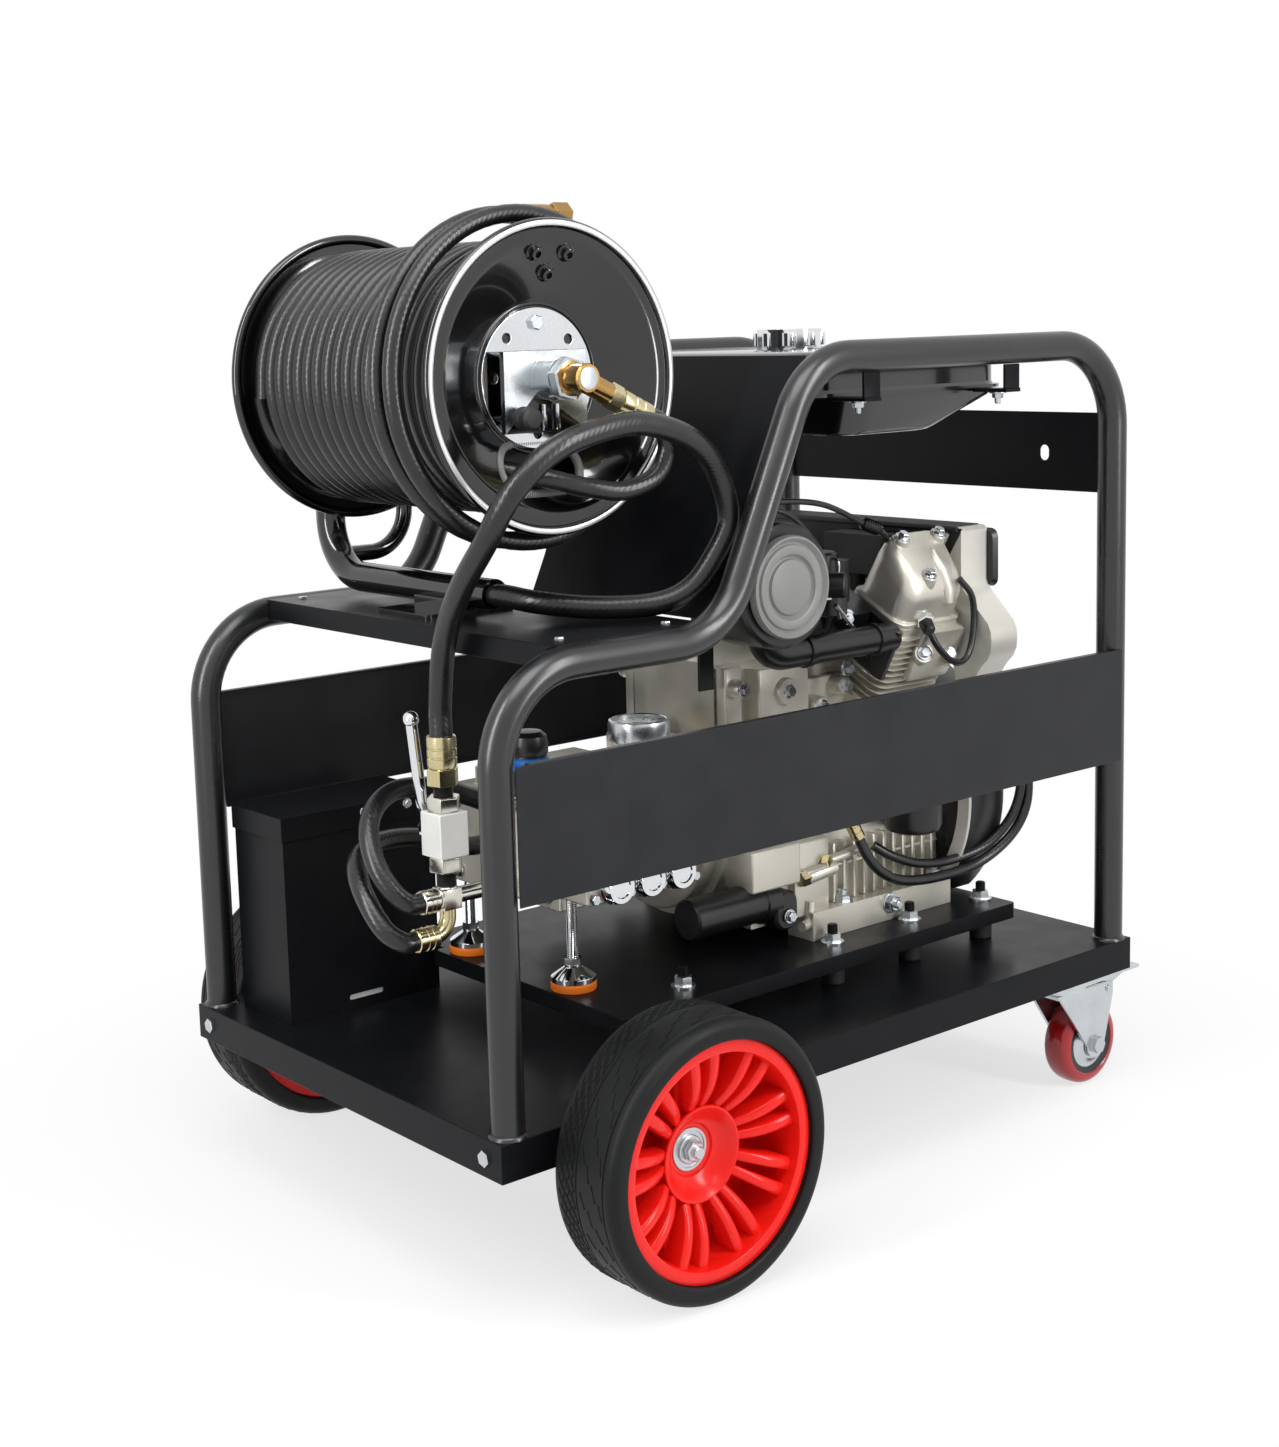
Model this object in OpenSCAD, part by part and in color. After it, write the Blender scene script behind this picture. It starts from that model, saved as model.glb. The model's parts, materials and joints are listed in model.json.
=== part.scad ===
// Drain jetter on a wheeled chassis: a petrol engine drives a three-plunger pump, and a hose reel stands
// on a shelf at the front. Millimetres, +Z up, +X to the rear, origin on the floor under the middle.

/* [Chassis] */
// Length of the tray
tray_l = 915; // [895:1:935]
// Width of the tray
tray_w = 550; // [530:1:570]
// Height of the tray's top above the floor
tray_top = 175; // [165:1:185]
// Depth of the tray's folded edge
tray_flange = 37; // [32:1:37]
// Thickness of the tray's sheet
tray_sheet = 3; // [2:0.5:4]
// Thickness of the sheet of panels and boxes
panel_sheet = 2; // [1.5:0.5:3]

/* [Side frames] */
// Diameter of the frame tube
tube_d = 32; // [28:1:34]
// Centre line of the platform run above the tray
platform_h = 423; // [405:1:440]
// Centre line of the top run above the tray
top_h = 684; // [670:1:700]
// Distance from the tray's front to the foot of the slope
slope_foot = 293; // [285:1:305]
// Angle of the slope from the horizontal
slope_angle = 65; // [60:1:70]
// Radius of the tube's bends at the centre line
bend_r = 90; // [75:1:95]
// Bottom edge of the side panels above the tray
side_panel_low = 213; // [205:1:225]
// Height of the side panels
side_panel_h = 128; // [115:1:140]

/* [Front wheels] */
// Outer radius of the tyre
wheel_r = 135; // [130:1:138]
// Width of the tyre
tyre_w = 86; // [78:1:92]
// Distance from the tray's side to the tyre
tyre_gap = 8; // [6:1:14]
// Outer radius of the wheel's rim
rim_r = 115; // [110:1:118]
// Radius of the axle
axle_r = 10; // [8:0.5:12]
// Number of spoke pairs
spoke_pairs = 9; // [7:1:10]

/* [Casters] */
// Radius of the caster's wheel
caster_r = 50; // [46:1:52]
// Width of the caster's wheel
caster_w = 34; // [30:1:36]
// Distance of the caster's axle behind its swivel
caster_trail = 40; // [34:1:44]
// How far the brake pedal reaches behind the tray
pedal_reach = 50; // [40:1:60]

/* [Reel] */
// Distance from the tray's front to the reel's axis
reel_back = 170; // [164:1:176]
// Height of the reel's axis above the shelf
reel_lift = 236; // [228:1:246]
// Outer radius of the reel's flanges
flange_r = 148; // [144:1:152]
// Distance between the flanges at the hub
hub_gap = 280; // [270:1:284]
// Depth of the flanges' dish
dish = 28; // [24:1:32]
// Radius of the drum
drum_r = 60; // [54:1:64]
// Radius of the fixed reel shaft
shaft_r = 20; // [17:1:22]

/* [Hoses] */
// Diameter of the jetting hose on the reel
reel_hose_d = 17; // [15:0.5:17.2]
// Turns of the outer layer on the reel
reel_turns = 17; // [12:1:17]
// Diameter of the supply hose
supply_hose_d = 23; // [20:1:24]
// Diameter of the jumper hose
jumper_hose_d = 19; // [16:1:20]
// Diameter of the two pump hoses
pump_hose_d = 20; // [16:1:21]

/* [Engine and pump] */
// Height of the crankshaft above the sub-base
crank_h = 125; // [118:1:132]
// Lean of each cylinder from the vertical
cylinder_lean = 28; // [24:1:32]
// Radius of the drive shaft
drive_r = 15; // [12:1:18]
// Height of the sub-base's top above the tray
sub_base_h = 45; // [40:1:50]
// Thickness of the sub-base
sub_base_t = 18; // [14:1:22]
// Distance between the pump's plungers
plunger_pitch = 42; // [38:1:44]

/* [Tank] */
// Length of the fuel tank
tank_l = 320; // [290:1:340]
// Width of the fuel tank
tank_w = 440; // [420:1:450]
// Height of the fuel tank
tank_h = 88; // [80:1:96]
// Radius of the filler cap
cap_r = 40; // [34:1:44]

/* [Hidden] */
$fn = 64;

// Colours of the finishes
powder_black = "#26282b";
gloss_black = "#101114";
zinc = "#c9cdd0";
chrome_plate = "#e3e6e8";
brass = "#c8a24a";
casting = "#b9b5ab";
red_plastic = "#e0281f";
rubber_black = "#1c1d1f";
orange_pad = "#f08019";
blue_ring = "#1f6fc4";

// Clearances: a running fit's radial gap, and the gap between seated pieces
run_gap = 0.05;
seat_gap = 0.3;

// Chassis places
bolt_head_h = 5;
bolt_head_r = 8;
tray_front = -(tray_l + pedal_reach - bolt_head_h) / 2;
tray_rear = tray_front + tray_l;
tray_side = tray_w / 2;
tray_low = tray_top - tray_flange;
sub_base_top = tray_top + sub_base_h;
sub_base_x0 = tray_front + 218;
sub_base_x1 = tray_front + 813;
sub_base_y = 190;
sub_base_sheet = 4;

// Side frame places
tube_r = tube_d / 2;
upright_inset = 20.5;
frame_y = tray_side - tube_r - 0.5;
front_x = tray_front + upright_inset;
rear_x = tray_rear - upright_inset;
platform_z = tray_top + platform_h;
top_z = tray_top + top_h;
slope_x = tray_front + slope_foot;
slope_top_x = slope_x + (top_z - platform_z) / tan(slope_angle);
shelf_sheet = 3;
shelf_top = platform_z + tube_r - 1;
shelf_x0 = tray_front + 95;
shelf_x1 = slope_x - 8;
shelf_y = frame_y - tube_r;
shelf_lip = 22;

// Front wheel places
axle_x = tray_front + 184;
axle_z = wheel_r;
tyre_in = tray_side + tyre_gap;
tyre_out = tyre_in + tyre_w;
rim_face = tyre_out - 6;
hub_in = tyre_in - 4;
hub_out = hub_in + 42;
hub_r = 28;
rim_wall = 10;
axle_collar_r = axle_r + 6;
axle_nut_h = 12;
axle_bracket_y = tray_side - 42;

// Caster places
caster_y = tray_side - 43;
caster_x = tray_rear + pedal_reach - 128;
caster_plate_t = 5;
caster_plate_low = tray_low - caster_plate_t;
race_r = 32;
race_h = 11;
crown_t = 4;
crown_top = caster_plate_low - seat_gap - race_h;
leg_t = 4;
leg_gap = caster_w / 2 + 3;
kingpin_r = 8;
caster_axle_r = 6;
pedal_pin = [62, crown_top - 9];
pedal_pin_r = 4;

// Reel places
reel_x = tray_front + reel_back;
reel_z = shelf_top + reel_lift;
hub_face = hub_gap / 2;
flange_sheet = 2;
rim_bead = 5;
dish_r0 = 70;
dish_r1 = 128;
hub_plate_t = 3;
hub_plate_face = hub_face + flange_sheet + hub_plate_t;
lock_angle = 223;
lock_pcd = 52;
lock_pin_r = 4;
lock_travel = 4;
lock_plate_gap = 10;
lock_plate_t = 6;
lock_plate_face = hub_plate_face + lock_plate_gap + lock_plate_t;
stand_tube_r = 16;
stand_z = shelf_top + 23;
stand_mouth = -65;
stand_arm_y = 230;
stand_bend = 60;
stand_bore_r = supply_hose_d / 2 + 2;
stand_bore = 60;
shaft_near = lock_plate_face + 24;
shaft_bore = 10;
elbow_y = shaft_near + 24;
elbow_slope = -26;

// Winding on the reel: the main layer, then a climb and loose outer loops next to the left flange
wind_pitch = reel_hose_d + 0.6;
wind_r = flange_r - 25.5;
wind_y0 = wind_pitch * reel_turns / 2;
loose_r = wind_r + 19.5;
loose_slack = 22;
loose_pitch = 24;
climb_turn = 180;
loose_turn = 630;
ring_step = 15;
main_turn = reel_turns * 360;
wind_turn = main_turn + climb_turn + loose_turn;
core_r = (wind_r - reel_hose_d / 2) * cos(ring_step / 2) - seat_gap;
outlet_r = 6.6;
outlet_l = 20;
core_near = 112;
core_far = hub_face - 4;

// Valve and pump places
valve_x = tray_front + 80;
valve_y = -92;
valve_size = 33;
valve_low = tray_top + 219;
valve_high = tray_top + 263;
valve_mid = (valve_low + valve_high) / 2;
tee_z = tray_top + 177;
stem_r = 5;
crank_z = sub_base_top + crank_h;
pump_x0 = tray_front + 240;
pump_x1 = tray_front + 420;
pump_y0 = -65;
pump_y1 = 130;
pump_low = sub_base_top + 78;
pump_high = crank_z + 80;
manifold_y = pump_y0 - 52;
manifold_x0 = tray_front + 235;
manifold_x1 = tray_front + 385;
manifold_low = crank_z - 31;
manifold_high = crank_z + 30;
cap_z = crank_z - 13;
regulator = [tray_front + 175, -105];
regulator_half = 18;
regulator_stem_r = 7;
regulator_stem_l = 34;
regulator_low = tee_z - 12;
regulator_top = manifold_high + 75;

// Engine places
engine_x0 = pump_x1 + 20;
engine_x1 = tray_front + 760;
engine_y = 115;
block_h = 85;
crown_y = 70;
crown_h = 185;
foot_h = 24;
near_cyl_x = tray_front + 704;
far_cyl_x = tray_front + 676;
barrel_from = 125;
barrel_to = 205;
head_to = 258;
head_fin_l = 108;
cover_to = 324;
fan_x1 = engine_x1 + 65;
fan_r = 165;
fan_wall = 4;
fan_low = sub_base_top + 6;
air_x = tray_front + 442;
air_z = tray_top + 452;
air_r = 66;

// Tank places
tank_x0 = tray_front + 452;
tank_z0 = top_z - tank_h + 4;
tank_z1 = tank_z0 + tank_h;
seam_z = tank_z0 + 42;
neck_r = cap_r - 9;
cap_at = [tray_front + 611, -35];

// Route of the supply hose: up from the valve, over a loop beside the reel and into the stand's tube
supply_route = [
    [-400, -92, 512], [-400, -93, 547], [-405, -112, 608], [-418, -158, 660], [-420, -200, 704],
    [-410, -229, 750], [-374, -241, 785], [-325, -243, 801], [-266, -242, 806], [-203, -238, 788],
    [-160, -229, 752], [-143, -226, 706], [-159, -219, 668], [-180, -209, 641], [-210, -193, 628],
    [-260, -164, 627], [-298, -122, 632], [-309, -85, 636], [-310, -60, 636], [-310, -25, 636]
];
// Route of the jumper hose, from the elbow's ferrule through the slot of the left flange
jumper_route = [
    [-231, -210, 811], [-214, -210, 802], [-205, -208, 778], [-219, -205, 752], [-255, -200, 741],
    [-290, -190, 746], [-320, -174, 755], [-342, -155, 761], [-358, -138, 766], [-366, -128, 769]
];
// Routes of the pump hoses, from the tee and from the elbow below it, round to the pump's front
tee_hose_route = [
    [-432, -92, 352], [-444, -91, 353], [-456, -82, 366], [-462, -64, 390], [-456, -44, 416],
    [-436, -26, 436], [-400, -12, 446], [-350, -6, 440], [-310, -4, 424], [-282, -4, 412], [-262, -4, 410]
];
elbow_hose_route = [
    [-440, -92, 316], [-452, -91, 317], [-466, -80, 330], [-470, -58, 354], [-463, -32, 374],
    [-444, -8, 386], [-410, 12, 390], [-360, 26, 384], [-315, 32, 370], [-286, 32, 360], [-262, 32, 358]
];

function unit(v) = v / norm(v);
function bend_angle(a, b) = acos(a * b);
function smooth_step(t) = t * t * (3 - 2 * t);

// A round tube in the XY plane that follows corner points, with its corners bent to one radius.
// The tube is a little slimmer in its bends, which reach into the straight runs by a small angle.
bend_neck = 0.1;
bend_reach = 2;
module bent_tube(corners, r, bend) {
    last = len(corners) - 1;
    runs = [for (i = [0:last - 1]) unit(corners[i + 1] - corners[i])];
    turns = [for (i = [1:last - 1]) bend_angle(runs[i - 1], runs[i])];
    trims = [for (i = [0:last]) i == 0 || i == last ? 0 : bend * tan(turns[i - 1] / 2)];
    for (i = [0:last - 1]) {
        from = corners[i] + trims[i] * runs[i];
        length = norm(corners[i + 1] - corners[i]) - trims[i] - trims[i + 1];
        translate([from.x, from.y, 0])
            rotate([0, 0, atan2(runs[i].y, runs[i].x)])
                rotate([0, 90, 0])
                    cylinder(r = r, h = length);
    }
    for (i = [1:last - 1]) {
        left = cross(runs[i - 1], runs[i]) > 0;
        inward = (left ? 1 : -1) * [-runs[i - 1].y, runs[i - 1].x];
        angle = turns[i - 1];
        centre = corners[i] - trims[i] * runs[i - 1] + bend * inward;
        start = atan2(-inward.y, -inward.x);
        translate([centre.x, centre.y, 0])
            rotate([0, 0, (left ? start : start - angle) - bend_reach])
                rotate_extrude(angle = angle + 2 * bend_reach)
                    translate([bend, 0])
                        circle(r = r - bend_neck);
    }
}

// A smooth curve through hand-chosen points, with so many steps between two points
function curve_point(p, i, t) =
    let (a = p[max(i - 1, 0)], b = p[i], c = p[i + 1], d = p[min(i + 2, len(p) - 1)])
    0.5 * (2 * b + (c - a) * t + (2 * a - 5 * b + 4 * c - d) * t * t + (3 * b - a - 3 * c + d) * t * t * t);
function curve(p, steps) = concat(
    [for (i = [0:len(p) - 2]) for (k = [0:steps - 1]) curve_point(p, i, k / steps)],
    [p[len(p) - 1]]
);
function directions(p) = [for (i = [0:len(p) - 1]) unit(p[min(i + 1, len(p) - 1)] - p[max(i - 1, 0)])];
function square_to(v, t) = unit(v - (v * t) * t);
function sides_along(t, first) = [
    for (i = 0, s = square_to(first, t[0]); i < len(t); i = i + 1, s = i < len(t) ? square_to(s, t[i]) : s) s
];

// A closed tube of triangles from rings of points, where each ring has the same number of sides
module ring_tube(points, rings, sides) {
    walls = [
        for (i = [0:rings - 2]) for (k = [0:sides - 1])
            let (a = i * sides + k, b = i * sides + (k + 1) % sides)
            each [[a, b + sides, b], [a, a + sides, b + sides]]
    ];
    first_cap = [for (k = [1:sides - 2]) [0, k, k + 1]];
    m = (rings - 1) * sides;
    last_cap = [for (k = [1:sides - 2]) [m, m + k + 1, m + k]];
    polyhedron(points = points, faces = concat(walls, first_cap, last_cap));
}

// A hose along a route
module hose(route, d, sides, steps, first) {
    path = curve(route, steps);
    ahead = directions(path);
    side = sides_along(ahead, first);
    points = [
        for (i = [0:len(path) - 1]) for (k = [0:sides - 1])
            let (a = 360 * k / sides)
            path[i] + d / 2 * (cos(a) * side[i] + sin(a) * cross(ahead[i], side[i]))
    ];
    ring_tube(points, len(path), sides);
}

// Children turned so that their +Z points along +Y or +X from a place
module along_y(at) translate(at) rotate([-90, 0, 0]) children();
module along_x(at) translate(at) rotate([0, 90, 0]) children();
// Children on the left side, or mirrored to the right side
module on_side(right) mirror([0, right ? 1 : 0, 0]) children();
// A plate with round corners, standing on the XY plane
module round_plate(l, w, h, r) {
    linear_extrude(h) {
        square([l - 2 * r, w], center = true);
        square([l, w - 2 * r], center = true);
        for (x = [-1, 1], y = [-1, 1])
            translate([x * (l / 2 - r), y * (w / 2 - r)])
                circle(r = r);
    }
}
// A slot with round ends, standing on the XY plane
module round_slot(l, w, h) round_plate(l, w, h, w / 2 - 0.001);
// A hexagon bar across its corners
module hex_bar(r, h) cylinder(r = r, h = h, $fn = 6);

// Pressed tray with folded edges, axle brackets and caster pads welded under it
module base_tray() {
    inner_l = tray_l - 2 * tray_sheet;
    inner_w = tray_w - 2 * tray_sheet;
    bracket_low = axle_z - 26;
    color(powder_black) {
        difference() {
            translate([tray_front, -tray_side, tray_low])
                cube([tray_l, tray_w, tray_flange]);
            translate([tray_front + tray_sheet, -inner_w / 2, tray_low - 1])
                cube([inner_l, inner_w, tray_flange - tray_sheet + 1]);
            along_y([axle_x, -tray_side - 1, axle_z])
                cylinder(r = axle_collar_r + 1, h = tray_w + 2);
        }
        for (s = [-1, 1])
            difference() {
                translate([axle_x - 26, s * axle_bracket_y - 4, bracket_low])
                    cube([52, 8, tray_top - tray_sheet - bracket_low]);
                along_y([axle_x, s * axle_bracket_y - 6, axle_z])
                    cylinder(r = axle_r + run_gap, h = 12);
            }
        for (s = [-1, 1])
            translate([caster_x - 50, s * caster_y - 38, tray_low])
                cube([100, 76, tray_flange - tray_sheet]);
    }
}

// One bent tube from the tray's front to its rear
module side_frame(right) {
    corners = [
        [front_x, tray_top], [front_x, platform_z], [slope_x, platform_z],
        [slope_top_x, top_z], [rear_x, top_z], [rear_x, tray_top]
    ];
    on_side(right)
        translate([0, -frame_y, 0])
            rotate([90, 0, 0])
                bent_tube(corners, tube_r, bend_r);
}
module left_side_frame() color(powder_black) side_frame(false);
module right_side_frame() color(powder_black) side_frame(true);

// Sheet panel outside the uprights, with its edges folded inwards
module side_panel(right) {
    x0 = front_x + 9;
    length = rear_x - 2 - x0;
    low = tray_top + side_panel_low;
    fold = 9;
    face = frame_y + tube_r + seat_gap;
    on_side(right) {
        translate([x0, -face - panel_sheet, low])
            cube([length, panel_sheet, side_panel_h]);
        for (z = [low, low + side_panel_h - panel_sheet])
            translate([x0 + tube_r, -face - panel_sheet, z])
                cube([length - 2 * tube_r - 3, fold, panel_sheet]);
    }
}
module left_side_panel() color(powder_black) side_panel(false);
module right_side_panel() color(powder_black) side_panel(true);

// Cross panel between the rear uprights, with a hanging hole
module rear_panel() {
    width = 2 * (frame_y - tube_r - seat_gap);
    color(powder_black)
        difference() {
            translate([rear_x - panel_sheet, -width / 2, top_z - 167])
                cube([panel_sheet, width, 90]);
            along_x([rear_x - panel_sheet - 1, -165, top_z - 124])
                round_slot(18, 13, panel_sheet + 2);
        }
}

// Shelf between the platform runs, with a folded front edge, narrower where the tubes rise
module reel_shelf() {
    sag = platform_z - (shelf_top - shelf_sheet);
    half = frame_y - sqrt(tube_r * tube_r - sag * sag) - seat_gap;
    lip_half = shelf_y - seat_gap;
    straight_l = slope_x - bend_r * tan(slope_angle / 2) - shelf_x0;
    color(powder_black) {
        translate([shelf_x0, -half, shelf_top - shelf_sheet])
            cube([straight_l, 2 * half, shelf_sheet]);
        translate([shelf_x0, -lip_half, shelf_top - shelf_sheet])
            cube([shelf_x1 - shelf_x0, 2 * lip_half, shelf_sheet]);
        translate([shelf_x0, -lip_half, shelf_top - shelf_lip])
            cube([shelf_sheet, 2 * lip_half, shelf_lip]);
    }
}

// Sloping console sheet behind the slope's tubes, cut back with a round corner at the lower right
module console() {
    run = (top_z - platform_z) / sin(slope_angle);
    half = frame_y - tube_r - seat_gap;
    cut_at = 60;
    cut_up = 110;
    corner = 45;
    color(powder_black)
        translate([slope_x, 0, platform_z])
            rotate([0, 90 - slope_angle, 0])
                translate([tube_r - 5, 0, 0])
                    rotate([0, -90, 180])
                        linear_extrude(panel_sheet)
                            difference() {
                                translate([18, -half])
                                    square([run - 10, 2 * half]);
                                difference() {
                                    translate([-1, -half - 1])
                                        square([cut_up + 1, half - cut_at + 1]);
                                    translate([cut_up - corner, -cut_at - corner])
                                        difference() {
                                            square([corner + 1, corner + 1]);
                                            circle(r = corner);
                                        }
                                }
                            }
}

// Axle with its collars and end nuts
module front_axle() {
    end = hub_out + axle_nut_h + 6;
    color(zinc) {
        along_y([axle_x, -end, axle_z])
            cylinder(r = axle_r, h = 2 * end);
        for (s = [0, 1])
            on_side(s == 1) {
                along_y([axle_x, -hub_in + seat_gap, axle_z])
                    cylinder(r = axle_collar_r, h = hub_in - tray_side + 30);
                along_y([axle_x, -hub_out - seat_gap - axle_nut_h, axle_z])
                    hex_bar(axle_r + 5, axle_nut_h);
            }
    }
}

// Moulded wheel with a deep dish of paired spokes in front of a web
module wheel_rim(right) {
    pair_step = 360 / spoke_pairs;
    spoke_t = 7;
    spoke_split = 8;
    web_t = 4;
    web_face = hub_in + 24;
    on_side(right)
        translate([axle_x, 0, axle_z]) {
            difference() {
                along_y([0, -rim_face, 0])
                    cylinder(r = rim_r, h = rim_face - tyre_in - 4);
                along_y([0, -rim_face - 1, 0])
                    cylinder(r = rim_r - rim_wall, h = rim_face);
            }
            difference() {
                union() {
                    along_y([0, -hub_out, 0])
                        cylinder(r = hub_r, h = hub_out - hub_in);
                    along_y([0, -web_face, 0])
                        cylinder(r = rim_r - rim_wall + 1, h = web_t);
                    for (i = [0:spoke_pairs - 1], s = [-1, 1])
                        rotate([0, i * pair_step + s * spoke_split, 0])
                            translate([0, 0, -spoke_t / 2])
                                linear_extrude(spoke_t)
                                    polygon([
                                        [hub_r - 3, -hub_out], [rim_r - rim_wall + 1, -rim_face + 10],
                                        [rim_r - rim_wall + 1, -rim_face + 28], [hub_r - 3, -hub_in]
                                    ]);
                }
                along_y([0, -hub_out - 1, 0])
                    cylinder(r = axle_r + run_gap, h = hub_out - hub_in + 2);
            }
        }
}
module left_wheel_rim() color(red_plastic) wheel_rim(false);
module right_wheel_rim() color(red_plastic) wheel_rim(true);

// Solid tyre with round shoulders
module wheel_tyre(right) {
    shoulder = 10;
    on_side(right)
        along_y([axle_x, -tyre_out, axle_z])
            rotate_extrude()
                difference() {
                    union() {
                        translate([rim_r + run_gap, 0])
                            square([wheel_r - shoulder - rim_r - run_gap, tyre_w]);
                        translate([wheel_r - shoulder - 0.01, shoulder])
                            square([shoulder + 0.01, tyre_w - 2 * shoulder]);
                        for (y = [shoulder, tyre_w - shoulder])
                            translate([wheel_r - shoulder, y])
                                circle(r = shoulder);
                    }
                    translate([rim_r - wheel_r, -1])
                        square([wheel_r + run_gap, tyre_w + 2]);
                }
}
module left_wheel_tyre() color(rubber_black) wheel_tyre(false);
module right_wheel_tyre() color(rubber_black) wheel_tyre(true);

// Top plates of the casters, bolted under the tray's pads
module caster_plates() {
    color(zinc)
        for (s = [-1, 1])
            difference() {
                translate([caster_x, s * caster_y, caster_plate_low])
                    round_plate(100, 84, caster_plate_t, 8);
                translate([caster_x, s * caster_y, caster_plate_low - 1])
                    cylinder(r = kingpin_r + run_gap, h = caster_plate_t + 2);
            }
}

// Swivelling fork with its kingpin, axle bolt and brake pin
module caster_fork(right) {
    leg = [
        [-28, crown_top], [30, crown_top],
        [pedal_pin.x + 9, pedal_pin.y + 6], [pedal_pin.x + 9, pedal_pin.y - 8],
        [caster_trail + 16, caster_r], [caster_trail - 16, caster_r]
    ];
    outside = leg_gap + leg_t;
    on_side(right)
        translate([caster_x, -caster_y, 0]) {
            translate([0, 0, crown_top])
                cylinder(r = race_r, h = race_h);
            translate([0, 0, crown_top])
                cylinder(r = kingpin_r, h = tray_low - crown_top - seat_gap);
            translate([-30, -outside, crown_top - crown_t])
                cube([60, 2 * outside, crown_t]);
            for (y = [-outside, leg_gap])
                translate([0, y + leg_t, 0])
                    rotate([90, 0, 0])
                        linear_extrude(leg_t) {
                            polygon(leg);
                            translate([caster_trail, caster_r])
                                circle(r = 16);
                        }
            along_y([caster_trail, -outside - 6, caster_r])
                cylinder(r = caster_axle_r, h = 2 * outside + 12);
            for (y = [-outside - 6, outside])
                along_y([caster_trail, y, caster_r])
                    hex_bar(caster_axle_r + 4, 6);
            along_y([pedal_pin.x, -outside - 2, pedal_pin.y])
                cylinder(r = pedal_pin_r, h = 2 * outside + 4);
        }
}
module left_caster_fork() color(zinc) caster_fork(false);
module right_caster_fork() color(zinc) caster_fork(true);

// Caster wheel with a crowned tread and raised hub faces
module caster_wheel(right) {
    crown = caster_r + 4;
    on_side(right)
        translate([caster_x + caster_trail, -caster_y, caster_r])
            difference() {
                union() {
                    intersection() {
                        along_y([0, -caster_w / 2, 0])
                            cylinder(r = caster_r, h = caster_w);
                        sphere(r = crown);
                    }
                    along_y([0, -leg_gap + seat_gap, 0])
                        cylinder(r = 20, h = 2 * (leg_gap - seat_gap));
                }
                along_y([0, -leg_gap, 0])
                    cylinder(r = caster_axle_r + run_gap, h = 2 * leg_gap);
            }
}
module left_caster_wheel() color(red_plastic) caster_wheel(false);
module right_caster_wheel() color(red_plastic) caster_wheel(true);

// Brake pedal that turns on the fork's pin
module brake_pedal(right) {
    width = 2 * leg_gap - 2;
    tip = tray_rear + pedal_reach - caster_x;
    tip_rise = 14;
    on_side(right)
        translate([caster_x, -caster_y, 0])
            difference() {
                union() {
                    along_y([pedal_pin.x, -width / 2, pedal_pin.y])
                        cylinder(r = 8, h = width);
                    translate([0, width / 2, 0])
                        rotate([90, 0, 0])
                            linear_extrude(width)
                                polygon([
                                    [pedal_pin.x, pedal_pin.y + 4], [tip - 34, pedal_pin.y + tip_rise],
                                    [tip, pedal_pin.y + tip_rise], [tip, pedal_pin.y + tip_rise - 4],
                                    [tip - 32, pedal_pin.y + tip_rise - 4], [pedal_pin.x, pedal_pin.y - 2]
                                ]);
                }
                along_y([pedal_pin.x, -width / 2 - 1, pedal_pin.y])
                    cylinder(r = pedal_pin_r + run_gap, h = width + 2);
            }
}
module left_brake_pedal() color(zinc) brake_pedal(false);
module right_brake_pedal() color(zinc) brake_pedal(true);

// Plate with folded edges under the engine and pump, notched round the battery box
module sub_base() {
    length = sub_base_x1 - sub_base_x0;
    inner_l = length - 2 * sub_base_sheet;
    inner_w = 2 * (sub_base_y - sub_base_sheet);
    box_room = 4;
    notch_l = box_x0 + box_l + box_room - sub_base_x0;
    color(powder_black)
        difference() {
            translate([(sub_base_x0 + sub_base_x1) / 2, 0, sub_base_top - sub_base_t])
                difference() {
                    round_plate(length, 2 * sub_base_y, sub_base_t, 6);
                    translate([-inner_l / 2, -inner_w / 2, -1])
                        cube([inner_l, inner_w, sub_base_t - sub_base_sheet + 1]);
                }
            translate([sub_base_x0 - 1, box_y0 - box_room, sub_base_top - sub_base_t - 1])
                cube([notch_l + 1, sub_base_y, sub_base_t + 2]);
        }
}

// Places of the sub-base's mounts
mount_xs = [sub_base_x0 + 112, sub_base_x0 + 331, sub_base_x0 + 455, sub_base_x1 - 18];
mount_y = 152;
mount_r = 13;
module rubber_mounts() {
    color(rubber_black)
        for (x = mount_xs, y = [-mount_y, mount_y])
            translate([x, y, tray_top])
                cylinder(r = mount_r, h = sub_base_h - sub_base_sheet);
}

// Fasteners of the chassis: mount nuts, tray bolts and shelf screws
module chassis_bolts() {
    color(zinc) {
        for (x = mount_xs, y = [-mount_y, mount_y])
            translate([x, y, sub_base_top]) {
                cylinder(r = 13, h = 3);
                hex_bar(10, 12);
                cylinder(r = 5, h = 22);
            }
        for (y = [-tray_side + 25, tray_side - 25])
            along_x([tray_front - bolt_head_h, y, tray_top - tray_flange / 2])
                hex_bar(bolt_head_r, bolt_head_h);
        for (x = [shelf_x0 + 30, shelf_x1 - 30], y = [-shelf_y + 20, shelf_y - 20])
            translate([x, y, shelf_top])
                cylinder(r = 6, h = 3);
    }
}

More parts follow.
